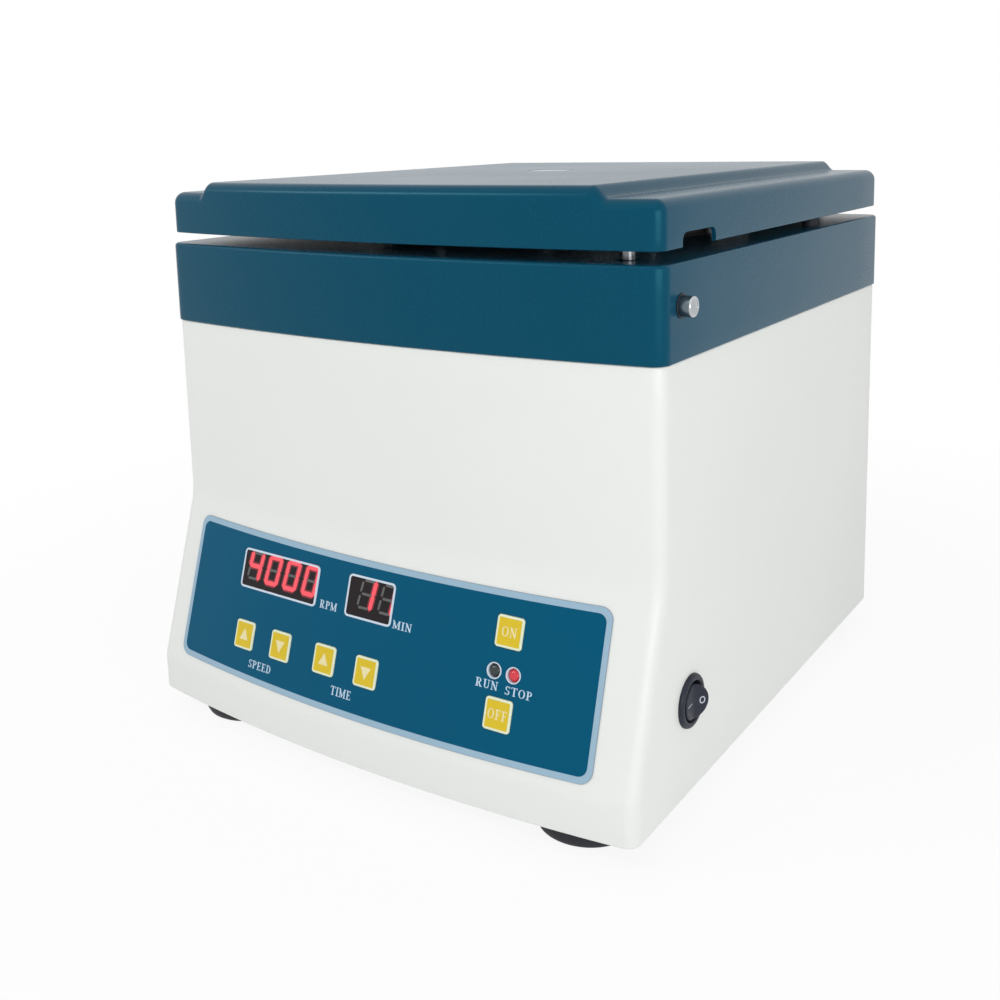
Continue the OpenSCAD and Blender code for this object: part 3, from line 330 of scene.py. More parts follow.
bow_r, bow_y = 936.613, 804.028
corner_x, corner_r = 129.5, 7.0
front_corner_y, back_corner_y = -116.521, 142.415
even_columns = [-126 + 7 * i for i in range(37)]


def case_ring(inset, z, forward=0.0, columns=even_columns):
    """Outline of the case at one height, set in by a wall, with its front moved forward."""
    r = bow_r - inset
    bend_r = corner_r - inset
    lean = math.asin(corner_x / (bow_r - corner_r))
    knee = r * math.sin(lean)
    front_y = front_corner_y - forward

    def bend(x, y, start, stop, steps=10):
        turns = [start + (stop - start) * i / steps for i in range(steps + 1)]
        return [(x + bend_r * math.cos(t), y + bend_r * math.sin(t), z) for t in turns]

    def side(x, start, stop, steps=9):
        return [(x, start + (stop - start) * i / steps, z) for i in range(1, steps)]

    ring = [(x, bow_y - forward - math.sqrt(r * r - x * x), z) for x in [-knee] + columns]
    ring += bend(corner_x, front_y, lean - quarter_turn, 0)
    ring += side(corner_x + bend_r, front_y, back_corner_y)
    ring += bend(corner_x, back_corner_y, 0, quarter_turn)
    ring += [(x, back_corner_y + bend_r, z) for x in reversed(columns)]
    ring += bend(-corner_x, back_corner_y, quarter_turn, 2 * quarter_turn)
    ring += side(-corner_x - bend_r, back_corner_y, front_y)
    ring += bend(-corner_x, front_y, 2 * quarter_turn, 3 * quarter_turn - lean)[:-1]
    return ring


slope = math.radians(17.3)
crease_z, skirt_z, housing_top, housing_low = 108.9, 29.5, 199.2, 12.0
flare = (crease_z - skirt_z) * math.tan(slope)


def front_reach(z, soft=5.0, firm=2.2):
    """How far the front stands forward at a height, with the crease and the skirt's edge rounded."""
    steep = math.tan(slope)
    if z >= crease_z + soft:
        return 0.0
    if z > crease_z - soft:
        return steep * (crease_z + soft - z) ** 2 / (4 * soft)
    if z > skirt_z + firm:
        return steep * (crease_z - z)
    if z > skirt_z - firm:
        return flare - steep * (z - skirt_z + firm) ** 2 / (4 * firm)
    return flare


def quarter(r, steps=4):
    """Drop and inset along a rounded edge, from the flat to the upright face."""
    turns = [quarter_turn * (steps - i) / steps for i in range(steps + 1)]
    return [(r * (1 - math.sin(t)), r * (1 - math.cos(t))) for t in turns]


step_in, wall, lip_round = 0.8, 2.5, 0.8
heights = [20, 25, 27.3, 28.4, 29.5, 30.6, 31.7, 45, 60, 75, 90, 103.9]
heights += [105.15, 106.4, 107.65, 108.9, 110.15, 111.4, 112.65, 113.9, 130, 150, 170, 185]
rings = [case_ring(step_in + inset, housing_low + drop, flare) for drop, inset in quarter(lip_round)]
rings += [case_ring(step_in, z, front_reach(z)) for z in heights]
rings += [case_ring(step_in + inset, housing_top - drop) for drop, inset in reversed(quarter(lip_round))]
rings += [case_ring(step_in + wall, z, front_reach(z)) for z in [housing_top] + heights[::-1] + [housing_low]]
white_paint = moulded(
    "white_paint", (229, 231, 228), (224, 227, 224), broad=7, fine=420, smooth=0.3, rough=0.42,
    grain=0.006
)
housing = new_piece("housing_case", *loft(rings, closed=True), [white_paint], "case", "white_paint")
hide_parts("housing")

panel_y, panel_r = -131.785, 980.154


def on_panel(x, v, out):
    """A point on the curved panel: x across, v down the slope from the crease, and how far out."""
    swing = math.asin(x / panel_r)
    deep = panel_r - (panel_r + out) * math.cos(swing)
    return (
        (panel_r + out) * math.sin(swing),
        panel_y + deep * math.cos(slope) - v * math.sin(slope),
        crease_z - deep * math.sin(slope) - v * math.cos(slope),
    )


def panel_spot(x, v):
    """Frame of a flat piece on the panel: right, up the slope, and out."""
    swing = math.asin(x / panel_r)
    dip = math.sin(swing)
    right = Vector((math.cos(swing), dip * math.cos(slope), -dip * math.sin(slope)))
    up = Vector((0, math.sin(slope), math.cos(slope)))
    spot = Matrix((right, up, right.cross(up))).transposed().to_4x4()
    return Matrix.Translation(on_panel(x, v, 0)) @ spot


def rounded_loop(wide, tall, r, steps=4):
    """Corners of a rounded rectangle about the middle, counter-clockwise."""
    loop = []
    for k, (x, y) in enumerate(((1, 1), (-1, 1), (-1, -1), (1, -1))):
        for i in range(steps + 1):
            t = quarter_turn * (k + i / steps)
            loop.append((x * (wide / 2 - r) + r * math.cos(t), y * (tall / 2 - r) + r * math.sin(t)))
    return loop


def block(place, wide, tall, low, high, r=0.4):
    """A closed prism with a rounded outline, in a frame given by a matrix."""
    loop = rounded_loop(wide, tall, r)
    return loft([[place @ Vector((x, y, z)) for x, y in loop] for z in (low, high)])


turned_steps = 48


def turned(place, profile, steps=turned_steps):
    """A closed turned shape: profile is radius and height, from the axis round to the axis."""
    turns = [2 * math.pi * k / steps for k in range(steps)]
    return loft([
        [place @ Vector((r * math.cos(t), r * math.sin(t), z)) for t in turns] for r, z in profile
    ])


key_places = {
    "speed_up": (-74.1, 57.4), "speed_down": (-49.3, 57.3), "time_up": (-20.9, 57.1),
    "time_down": (3.8, 57.1), "start": (73.0, 24.8), "stop": (72.7, 58.5),
}
window_places = {"speed": (-57.0, 26.2, 51.3, 18.7), "timer": (0.0, 25.9, 26.9, 19.0)}
lamp_places = {"run": (68.3, 41.4), "stop": (77.4, 41.5)}
key_wide, key_tall, key_r, key_gap = 12.7, 13.3, 1.5, 0.2
frame_lap, lamp_hole_r = 1.5, 3.05
saw_from, saw_to = -8, 6
hole_wide, hole_tall = key_wide + 2 * key_gap, key_tall + 2 * key_gap
panel_openings = [
    block(panel_spot(*place), hole_wide, hole_tall, saw_from, saw_to, r=key_r + key_gap)
    for place in key_places.values()
]
panel_openings += [
    block(panel_spot(x, v), wide - 2 * frame_lap, tall - 2 * frame_lap, saw_from, saw_to)
    for x, v, wide, tall in window_places.values()
]
panel_openings += [
    turned(panel_spot(*place), [(lamp_hole_r, saw_from), (lamp_hole_r, saw_to)])
    for place in lamp_places.values()
]
switch_y, switch_z, switch_hole_r = -97.085, 53.5, 10.1
switch_spot = Matrix.Translation((135.7, switch_y, switch_z)) @ Matrix.Rotation(quarter_turn, 4, "Y")
back_turn = Matrix.Rotation(-quarter_turn, 4, "X") @ Matrix.Rotation(math.pi, 4, "Z")
back_spot = Matrix.Translation((0, 148.615, 0)) @ back_turn
inlet_spot = back_spot @ Matrix.Translation((40, 57.5, 0))
wall_openings = [
    turned(switch_spot, [(switch_hole_r, saw_from), (switch_hole_r, saw_to)]),
    block(inlet_spot, 27.3, 20.3, saw_from, saw_to),
]
vent_x, vent_z, vent_pitch, vent_count, vent_wide, vent_tall = -67, 73.5, 9, 7, 4, 40
for i in range(vent_count):
    vent_spot = back_spot @ Matrix.Translation((vent_x + vent_pitch * i, vent_z, 0))
    wall_openings.append(block(vent_spot, vent_wide, vent_tall, saw_from, saw_to, r=1.9))
cut_out(housing, panel_openings + wall_openings)


# Base plate, motor plate and screws
# Zinc-plated steel sheet and hardware: a faint spangle, dull and slightly bluish. The screws hold
# the chassis, motor, hinges, bowl and liner.
def dress(names, made):
    """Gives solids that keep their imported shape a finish."""
    for name in names:
        nodes[name].material_slots[0].material = made


zinc = moulded(
    "zinc_plate", (176, 180, 184), (152, 158, 166), broad=160, fine=1400, smooth=0.28, rough=0.5,
    grain=0.004, Metallic=1.0
)
dress(["base_plate", "motor_plate", "chassis_screws", "motor_screws"], zinc)
dress(["case_hinge_screws", "lid_hinge_screws", "bowl_screws", "liner_screws"], zinc)

# Feet and small rubber pieces
# Black rubber discs, moulded with a fine matt skin, a round lower edge and a well for the screw;
# the motor's dampers, the lid's buffers and the shaft's grommet are of the same rubber.
rubber = moulded(
    "black_rubber", (42, 43, 50), (34, 35, 40), broad=90, fine=1600, smooth=0.55, rough=0.75,
    grain=0.02, Specular_IOR_Level=0.35
)
dress(["motor_dampers", "lid_buffers", "shaft_grommet"], rubber)
foot_profile = [
    (6, 6), (6, 0.5), (6.5, 0), (18.4, 0), (20.6, 0.4), (22.2, 1.5), (23.1, 3.2), (23.4, 5.2),
    (23.4, 11.4), (23.1, 12.5), (22.3, 13.25), (21.2, 13.5), (4, 13.5),
]
smooth_steps = 64
for corner in ("front_left", "front_right", "rear_left", "rear_right"):
    low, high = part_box(f"foot_{corner}")
    under = Matrix.Translation([(a + b) / 2 / mm for a, b in zip(low[:2], high[:2])] + [0])
    shape = turned(under, foot_profile, smooth_steps)
    foot = new_piece(f"foot_{corner}_pad", *shape, [rubber], "case", "black_rubber")
    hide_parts(f"foot_{corner}")

# Motor
# A steel can between cast aluminium caps, on a plate that stands on rubber dampers; inside are the
# copper windings of stator and armature, and a steel shaft in two bearings.
axis_y = 19.415
turned_metal, given = surface_group("turned_metal", ("Pitch",))
spot = turned_metal.nodes.new("ShaderNodeTexCoord")
centre = turned_metal.nodes.new("ShaderNodeVectorMath")
centre.operation = "SUBTRACT"
centre.inputs[1].default_value = (0, axis_y * mm, 0)
wire(turned_metal, spot.outputs["Object"], centre.inputs[0])
flat = turned_metal.nodes.new("ShaderNodeVectorMath")
flat.operation = "MULTIPLY"
flat.inputs[1].default_value = (1, 1, 0)
wire(turned_metal, centre.outputs[0], flat.inputs[0])
radius = turned_metal.nodes.new("ShaderNodeVectorMath")
radius.operation = "LENGTH"
wire(turned_metal, flat.outputs[0], radius.inputs[0])
height = turned_metal.nodes.new("ShaderNodeSeparateXYZ")
wire(turned_metal, spot.outputs["Object"], height.inputs[0])
along = turned_metal.nodes.new("ShaderNodeCombineXYZ")
wire(turned_metal, radius.outputs["Value"], along.inputs[0])
wire(turned_metal, height.outputs["Z"], along.inputs[1])
lines = turned_metal.nodes.new("ShaderNodeTexNoise")
lines.inputs["Detail"].default_value = 4
wire(turned_metal, along.outputs[0], lines.inputs["Vector"])
wire(turned_metal, given.outputs["Pitch"], lines.inputs["Scale"])
close_group(turned_metal, given, lines.outputs["Fac"], lines.outputs["Fac"], lines.outputs["Fac"])


def machined(name, tone, drift, pitch=700, smooth=0.15, rough=0.35, grain=0.01):
    """Metal turned on the rotor's axis: fine rings of tone and gloss."""
    values = {
        "Tone": paint_tone(*tone), "Drift": paint_tone(*drift), "Pitch": pitch, "Smooth": smooth,
        "Rough": rough,
    }
    return finish(name, turned_metal, values, grain, Metallic=1.0)


steel = machined(
    "bright_steel", (196, 198, 200), (172, 176, 180), pitch=500, smooth=0.16, rough=0.32
)
aluminium = machined(
    "cast_aluminium", (206, 208, 210), (180, 184, 188), pitch=900, smooth=0.28, rough=0.5
)
winding = moulded(
    "winding", (150, 84, 44), (110, 58, 30), broad=300, fine=1500, smooth=0.3, rough=0.5, grain=0.05
)
dress(["motor_can", "motor_bearings", "motor_shaft"], steel)
dress(["motor_top_cap", "motor_base_cap"], aluminium)
dress(["stator", "armature"], winding)

# Boards, transformer and mains inlet
# Green circuit boards on posts, a transformer cast in black resin, and a black moulded inlet with
# brass pins that snaps into the back wall.
board = moulded("board", (30, 92, 56), (22, 74, 46), broad=120, fine=900, smooth=0.3, rough=0.45)
black_plastic = moulded(
    "black_plastic", (40, 44, 56), (34, 38, 49), broad=60, fine=1500, smooth=0.36, rough=0.5,
    grain=0.008, Specular_IOR_Level=0.22
)
brass = machined("brass", (206, 170, 92), (180, 144, 70), pitch=900)
dress(["control_board", "power_board"], board)
dress(["transformer", "power_inlet"], black_plastic)
dress(["inlet_pins"], brass)

# Collar
# Teal moulded plastic with rounded edges, set on the housing by a lip. Its flat deck has the
# chamber's hole, the striker's slot, and a hole in the right wall for the release button.
teal_gloss = (0.25, 0.9, 1.0, 1)
teal_plastic = moulded(
    "teal_plastic", (10, 71, 95), (8, 67, 91), broad=9, fine=1100, smooth=0.22, rough=0.3,
    grain=0.0008, Specular_IOR_Level=0.17, Specular_Tint=teal_gloss
)
deck_z, deck_thick, teal_wall = 238.1, 3.2, 3
lip_z, lip_top, lip_outside, lip_inside = 190.2, 202.2, 3.6, 5.6
seat_r, seat_deep, chamber_r = 97.3, 1, 82


def chamber_ring(r, z):
    """A circle round the rotor's axis, with its points in line with the case outline's."""
    ring = []
    for x, y, _ in case_ring(0, z):
        t = math.atan2(y - axis_y, x)
        ring.append((r * math.cos(t), axis_y + r * math.sin(t), z))
    return ring


seat_z, under_deck = deck_z - seat_deep, deck_z - deck_thick
rings = [case_ring(lip_outside, z) for z in (lip_z, housing_top)]
rings += [case_ring(inset, housing_top + drop) for drop, inset in quarter(0.7)]
rings += [case_ring(0, z) for z in (207, 217, 227)]
rings += [case_ring(inset, deck_z - drop) for drop, inset in reversed(quarter(1.6, 5))]
rings += [case_ring(2.6, deck_z), chamber_ring(seat_r, deck_z), chamber_ring(seat_r, seat_z)]
rings += [chamber_ring(chamber_r, seat_z), chamber_ring(chamber_r, under_deck)]
rings += [case_ring(teal_wall, under_deck), case_ring(teal_wall, lip_top)]
rings += [case_ring(lip_inside, lip_top), case_ring(lip_inside, lip_z)]
collar = new_piece("collar_case", *loft(rings, closed=True), [teal_plastic], "case", "teal_plastic")
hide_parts("collar")
latch_y, button_hole_r = -107.385, 5.0
button_spot = Matrix.Translation((136.5, latch_y, 221.2)) @ Matrix.Rotation(quarter_turn, 4, "Y")
slot_spot = Matrix.Translation((113.5, latch_y, deck_z))
cut_out(collar, [
    block(slot_spot, 8, 12, saw_from, saw_to, r=2),
    turned(button_spot, [(button_hole_r, saw_from), (button_hole_r, saw_to)]),
])

# Lid
# The same teal plastic: a shallow box with rounded edges, a raised band along its middle with a
# soft step down to each shoulder, a finger notch in the right wall and a round sight window.
lid_z, lid_roof, shoulder_z, lid_top = 243.2, 260, 263.1, 268.1
lid_step, band_half, band_slope = 1.2, 105.5, 6.5
step_columns = [103.8, 104.8] + [band_half + band_slope / 10 * i for i in range(11)]
step_columns += [112.8, 114.5, 119, 125]
lid_columns = [-x for x in reversed(step_columns)] + [-96 + 8 * i for i in range(25)] + step_columns


def lid_height(x):
    """Height of the lid's top: the band, a soft step, and the shoulders."""
    away = min(max((abs(x) - band_half) / band_slope, 0), 1)
    return lid_top - (lid_top - shoulder_z) * (1 - math.cos(math.pi * away)) / 2


def lid_outline(inset, z):
    return case_ring(inset, z, columns=lid_columns)


def lid_ring(drop, inset):
    """An outline of the lid that follows the band, some way below its top."""
    return [(x, y, lid_height(x) - drop) for x, y, _ in lid_outline(lid_step + inset, 0)]


rings = [lid_outline(teal_wall, z) for z in (lid_roof, lid_z)]
rings += [lid_outline(lid_step + inset, lid_z + drop) for drop, inset in quarter(0.6, 3)]
rings += [lid_outline(lid_step, z) for z in (248, 253)]
rings += [lid_ring(drop, inset) for drop, inset in reversed(quarter(5.5, 9))]
rings.append(lid_ring(0, 5.8))
points, faces = loft(rings)
# the flat end over the lid is opened into strips that follow the band
faces.pop()
ring_size = len(rings[0])
top_start = (len(rings) - 1) * ring_size
front = [top_start + k for k in range(len(lid_columns) + 2)]
corner_count, side_count = 11, 8
back_first = front[-1] + 2 * corner_count + side_count - 2
back = [back_first + k for k in range(len(lid_columns) + 2)]
for k in range(len(front) - 1):
    faces.append((front[k], front[k + 1], back[-2 - k], back[-1 - k]))
faces.append(tuple(range(front[-1], back[0] + 1)))
faces.append(tuple(range(back[-1], top_start + ring_size)) + (front[0],))
# the first loop of faces is the inner wall, and the end that is left closes the lid inside
inner_roof = (len(rings) - 1) * ring_size
tints = [int(k < ring_size or k == inner_roof) for k in range(len(faces))]
lid_inside = moulded(
    "lid_inside", (206, 199, 190), (196, 189, 181), broad=30, fine=1200, smooth=0.4, rough=0.55
)
lid = new_piece("lid_case", points, faces, [teal_plastic, lid_inside], "lid", "teal_plastic", tints=tints)
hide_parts("lid_shell")
notch_turn = Matrix.Rotation(quarter_turn, 4, "Z") @ Matrix.Rotation(quarter_turn, 4, "X")
notch_spot = Matrix.Translation((136.5, -88.085, lid_z)) @ notch_turn
window_spot = Matrix.Translation((0, axis_y, lid_top))
cut_out(lid, [
    block(notch_spot, 31.3, 12, -9, 9, r=3.5),
    turned(window_spot, [(10.5, -12), (10.5, -2.2), (12.05, -2.2), (12.05, 3)]),
])

# Lid liner
# A dished plate of satin stainless steel, turned in fine rings and screwed under the lid.
liner_steel = machined(
    "liner_steel", (178, 181, 184), (156, 160, 164), pitch=500, smooth=0.3, rough=0.46
)
dress(["lid_liner"], liner_steel)

# Sight window
# A clear disc with a bevelled edge, let into the lid over the rotor nearly flush with its top.
glass = moulded(
    "sight_glass", (176, 198, 202), (168, 191, 196), smooth=0.16, rough=0.26, grain=0.001,
    Transmission_Weight=0.5
)
sight = new_piece("sight_disc", *turned(window_spot, [
    (11.95, -2.15), (11.95, -0.4), (11.8, -0.16), (11.4, -0.08), (8, -0.05), (4, -0.04), (0.1, -0.03),
], smooth_steps), [glass], "lid", "sight_glass")
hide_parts("sight_window")

# Hinges
# Pressed stainless leaves on steel pins, screwed to the back of the collar and the lid.
dress(["case_hinge_leaves", "lid_hinge_leaves", "hinge_pins"], steel)

# Chamber
# A drawn steel bowl, hung in the collar by its flange, with a grey rubber ring pressed over its rim
# for the lid's liner to close on.
gasket_rubber = moulded(
    "gasket_rubber", (80, 77, 78), (70, 67, 68), broad=90, fine=1600, smooth=0.5, rough=0.7,
    grain=0.02, Specular_IOR_Level=0.35
)
dress(["chamber_bowl"], steel)
dress(["chamber_gasket"], gasket_rubber)

# Rotor
# Six metal sleeves stand at a slant in a machined aluminium head, held on the shaft by a nut.
sleeve = machined(
    "sleeve_metal", (150, 158, 164), (120, 128, 136), pitch=300, smooth=0.25, rough=0.45
)
dress(["rotor_head", "rotor_nut"], aluminium)
dress(["tube_sleeves"], sleeve)

# Release button
# A polished steel push button that slides in a black bush and guide, and frees the striker under
# the lid; its crowned end has a raised round rim. Its face and sleeve are the same steel in darker
# tones, a painted reflection of the darker things round it.
chrome = moulded(
    "chrome_button", (196, 199, 202), (182, 186, 190), broad=80, fine=900, smooth=0.1, rough=0.2,
    grain=0.002, Metallic=1.0
)
# the face: darker, rougher steel, a painted reflection
face_painted_reflection = moulded(
    "button_face_painted_reflection", (184, 188, 190), (168, 173, 176), broad=260, fine=1800, smooth=0.18, rough=0.34,
    grain=0.004, Metallic=1.0
)
# the sleeve: darker steel, a painted reflection of the teal collar and the gap
sleeve_painted_reflection = moulded(
    "button_sleeve_painted_reflection", (112, 125, 131), (101, 114, 120), broad=80, fine=900, smooth=0.16, rough=0.26,
    grain=0.002, Metallic=1.0
)
# The striker's steel is toned dark: a painted reflection of the dark gap round it.
striker_painted_shade = machined(
    "striker_steel_painted_shade", (126, 128, 131), (104, 107, 111), pitch=500, smooth=0.1, rough=0.24
)
dress(["release_button"], chrome)
dress(["latch_striker"], striker_painted_shade)
dress(["button_bush", "latch_guide"], black_plastic)
side_profile = [(3.6, 0.4), (4.21, 0.5), (4.21, 5.0)]
rim_profile = [(4.12, 5.35), (3.9, 5.58), (3.6, 5.66), (3.3, 5.56), (3.1, 5.38)]
face_profile = [(2.6, 5.46), (1.8, 5.62), (0.9, 5.72), (0.1, 5.75)]
points, faces = turned(button_spot, side_profile + rim_profile + face_profile)
tints = []
for tint, profile in ((2, side_profile[1:]), (0, rim_profile), (1, face_profile)):
    tints += [tint] * turned_steps * len(profile)
tints += [0, 1]
finishes = [chrome, face_painted_reflection, sleeve_painted_reflection]
new_piece("button_end", points, faces, finishes, "latch", "chrome_button", tints=tints)

# Latch spring
# A compression spring of bright wire, coiled between the guide's end wall and the button's slide.
low, high = (Vector(corner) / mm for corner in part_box("latch_spring"))
middle = (low + high) / 2
wire_r, coil_turns, ring_count, wire_sides = 0.45, 6, 16, 8
coil_r = (high.z - low.z) / 2 - wire_r
coil_long = high.x - low.x - 2 * wire_r
wire_turns = [2 * math.pi * k / wire_sides for k in range(wire_sides)]
rings = []
for i in range(coil_turns * ring_count + 1):
    turn = 2 * math.pi * i / ring_count
    out = Vector((0, math.cos(turn), math.sin(turn)))
    along = low.x + wire_r + coil_long * i / (coil_turns * ring_count)
    rings.append([
        Vector((along + wire_r * math.sin(a), middle.y, middle.z)) + out * (coil_r + wire_r * math.cos(a))
        for a in wire_turns
    ])
spring = new_piece("latch_coil", *loft(rings), [steel], "case", "bright_steel")
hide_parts("latch_spring")
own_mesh(spring)

# Power switch
# A round black rocker switch that snaps into the right wall: a turned bezel with a deep well, and
# a paddle with two slopes whose rear end stands out at rest, marked with a white bar and ring.
switch = new_piece("switch_case", *turned(switch_spot, [
    (9.8, -18), (9.8, 0), (11.5, 0), (11.5, 0.5), (11.35, 1.1), (10.95, 1.6), (10.3, 1.92), (9.5, 2.0),
    (8.95, 1.8), (8.65, 1.3), (8.6, 0.5), (8.6, -15.5),
], smooth_steps), [black_plastic], "case", "black_plastic")
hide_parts("switch_body")
pivot_x, ridge_off, ridge_r, paddle_lean = 132.7, 5.1, 0.6, math.radians(8)
rear_slope, front_slope = math.radians(22), math.radians(12)


def on_paddle(along, across_it, out):
    """A point on the paddle's face: along it to the rear, up it, and how far off the face."""
    steep = math.tan(rear_slope if along > 0 else front_slope)
    off = ridge_off + (math.hypot(along, ridge_r) - ridge_r) * steep + out
    return (
        pivot_x + off * math.cos(paddle_lean) + along * math.sin(paddle_lean),
        switch_y - off * math.sin(paddle_lean) + along * math.cos(paddle_lean),
        switch_z + across_it,
    )


paddle_profile = [
    (6.8, -8.5), (7.4, -7.0), (7.6, -1.0), (7.56, -0.6), (7.4, -0.25), (7.1, -0.05), (6.7, 0), (5, 0),
    (3.4, 0), (1.8, 0), (0.5, 0),
]
turns = [2 * math.pi * k / smooth_steps for k in range(smooth_steps)]
rings = [[on_paddle(r * math.cos(t), r * math.sin(t), out) for t in turns] for r, out in paddle_profile]
rocker = new_piece("rocker_paddle", *loft(rings), [black_plastic], "rocker", "black_plastic", sharp=50)
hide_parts("power_rocker")


def bow(x, y, rx, ry, wx, wy, start, stop, steps=10):
    """A curved stroke between two ellipses."""
    turns = [math.radians(start + (stop - start) * i / steps) for i in range(steps + 1)]
    outer = [(x + rx * math.cos(t), y + ry * math.sin(t)) for t in turns]
    inner = [(x + (rx - wx) * math.cos(t), y + (ry - wy) * math.sin(t)) for t in turns]
    return outer + inner[::-1]


def stamped(shapes, where, low, high):
    """Thin solid prints; neighbours differ by a hair in height, so no two lie in one plane."""
    hair = 0.003
    return joined([
        loft([[where(x, y, h) for x, y in shape] for h in (low, high + hair * (k % 4))])
        for k, shape in enumerate(shapes)
    ])


white_ink = moulded(
    "white_ink", (196, 201, 212), (184, 190, 202), broad=300, fine=2500, smooth=0.45, rough=0.6
)
ring_mark = [bow(4.2, 0, 1.35, 1.6, 0.45, 0.45, turn, turn + 180) for turn in (0, 180)]
bar_mark = [(-5.8, -0.2), (-1.7, -0.2), (-1.7, 0.2), (-5.8, 0.2)]
marks = stamped(ring_mark + [bar_mark], on_paddle, -0.05, 0.03)
new_piece("rocker_marks", *marks, [white_ink], "rocker", "black_plastic")

# Control overlay
# A printed polyester film glued to the sloped panel: a teal field inside a light blue border,
# with pale serif lettering, and openings for the keys, windows and lamps.
film = moulded(
    "panel_film", (4, 80, 112), (3, 76, 107), broad=20, fine=2200, smooth=0.42, rough=0.52,
    grain=0.006, Specular_IOR_Level=0.18, Specular_Tint=teal_gloss
)
pale_film = moulded(
    "border_film", (153, 181, 200), (146, 175, 195), broad=20, fine=2200, smooth=0.42, rough=0.52,
    grain=0.006, Specular_IOR_Level=0.25
)
# A mid grey-blue sheet a hair larger than the border lies under it: its rim is a painted shadow line along
# the film's edges.
painted_edge_shade = moulded(
    "painted_edge_shade", (150, 163, 174), (142, 155, 167), broad=60, fine=2200, smooth=0.45, rough=0.55
)
overlay_x, overlay_v, overlay_wide, overlay_tall, film_face = -1.2, 42.75, 236.0, 69.3, 0.6
arch_rise, arch_fall = 1.2, 2.9


def film_sheet(name, finish_used, wide, tall, r, low, high):
    """A thin rounded sheet on the panel; its long edges stay level, so they arch on the slope."""
    turns = [quarter_turn * i / 10 for i in range(11)]
    corner = [(wide / 2 - r + r * math.sin(t), r * (1 - math.cos(t))) for t in turns]
    columns = [(-x, drop) for x, drop in reversed(corner)]
    columns += [(-110 + 10 * i, 0) for i in range(23)] + corner
    rings = []
    for x, drop in columns:
        middle = overlay_v + arch_rise - arch_fall * (x / (overlay_wide / 2)) ** 2
        top, foot = middle - tall / 2 + drop, middle + tall / 2 - drop
        edge = ((top, low), (foot, low), (foot, high), (top, high))
        rings.append([on_panel(overlay_x + x, v, out) for v, out in edge])
    sheet = new_piece(name, *loft(rings), [finish_used], "case", "panel_film", sharp=20)
    cut_out(sheet, panel_openings, sharp=20)
    return sheet


# the sheet whose rim paints the shadow line under the film's edge
film_sheet("overlay_shade_line", painted_edge_shade, overlay_wide + 0.5, overlay_tall + 0.5, 5.5, 0.02, 0.42)
overlay = film_sheet("overlay_border", pale_film, overlay_wide, overlay_tall, 5.3, 0.1, 0.56)
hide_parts("control_overlay")
film_sheet("overlay_field", film, overlay_wide - 4.6, overlay_tall - 5.2, 3.8, 0.3, film_face)

thick, thin = 0.17, 0.075


def bar(x1, y1, x2, y2, wide):
    """A straight stroke."""
    reach = math.hypot(x2 - x1, y2 - y1) / wide * 2
    dx, dy = (y2 - y1) / reach, (x1 - x2) / reach
    return [(x1 + dx, y1 + dy), (x2 + dx, y2 + dy), (x2 - dx, y2 - dy), (x1 - dx, y1 - dy)]


def stem(x, wide=thick):
    return bar(x, 0, x, 1, wide)


def serif(x1, x2, y):
    """A thin level stroke along the baseline, y 0, or the top, y 1."""
    level = y + (0.5 - y) * thin
    return bar(x1, level, x2, level, thin)


def tick(x, y1, y2):
    return bar(x, y1, x, y2, thin)


bowl = bow(0.36, 0.725, 0.28, 0.275, 0.16, thin, -90, 90)
cup = bow(0.386, 0.3, 0.271, 0.3, 0.12, 0.08, 180, 360)
foot_and_head = [stem(0.2), serif(0.02, 0.38, 0), serif(0.02, 0.38, 1)]
head = foot_and_head + [bar(0.2, 0.485, 0.37, 0.485, thin), bowl]
flags = [
    stem(0.2), serif(0.02, 0.6, 1), tick(0.57, 1, 0.78), bar(0.2, 0.51, 0.46, 0.51, thin),
    tick(0.45, 0.41, 0.61),
]
letters = {
    "I": (0.38, [stem(0.19), serif(0.02, 0.36, 0), serif(0.02, 0.36, 1)]),
    "T": (0.74, [
        stem(0.37), serif(0.2, 0.54, 0), serif(0.02, 0.72, 1), tick(0.05, 1, 0.78), tick(0.69, 1, 0.78),
    ]),
    "E": (0.68, flags + [serif(0.02, 0.65, 0), tick(0.62, 0, 0.22)]),
    "F": (0.64, flags + [serif(0.02, 0.38, 0)]),
    "P": (0.68, head),
    "R": (0.78, head + [bar(0.36, 0.5, 0.63, 0.02, thick), serif(0.54, 0.78, 0)]),
    "D": (0.78, [
        stem(0.2), serif(0.02, 0.37, 0), serif(0.02, 0.37, 1),
        bow(0.35, 0.5, 0.4, 0.5, thick, thin, -90, 90),
    ]),
    "U": (0.78, [
        bar(0.2, 0.3, 0.2, 1, thick), tick(0.62, 0.3, 1), serif(0.02, 0.38, 1), serif(0.5, 0.76, 1), cup,
    ]),
    "O": (0.8, [bow(0.4, 0.5, 0.38, 0.5, 0.16, 0.06, turn, turn + 180) for turn in (0, 180)]),
    "N": (0.8, [
        stem(0.14, thin), bar(0.14, 0.95, 0.64, 0.05, thick), stem(0.64, thin), serif(0, 0.28, 0),
        serif(0, 0.2, 1), serif(0.5, 0.78, 1),
    ]),
    "M": (0.98, [
        stem(0.14, thin), stem(0.81), bar(0.14, 0.95, 0.46, 0.07, thick), bar(0.46, 0.07, 0.78, 0.95, thin),
        serif(0, 0.28, 0), serif(0.65, 0.97, 0), serif(0, 0.2, 1), serif(0.75, 0.97, 1),
    ]),
    "S": (0.6, [
        bow(0.3, 0.74, 0.24, 0.26, 0.13, thin, 30, 270), bow(0.3, 0.265, 0.25, 0.265, 0.14, thin, 90, -150),
        tick(0.53, 0.98, 0.76), tick(0.06, 0.02, 0.24),
    ]),
}


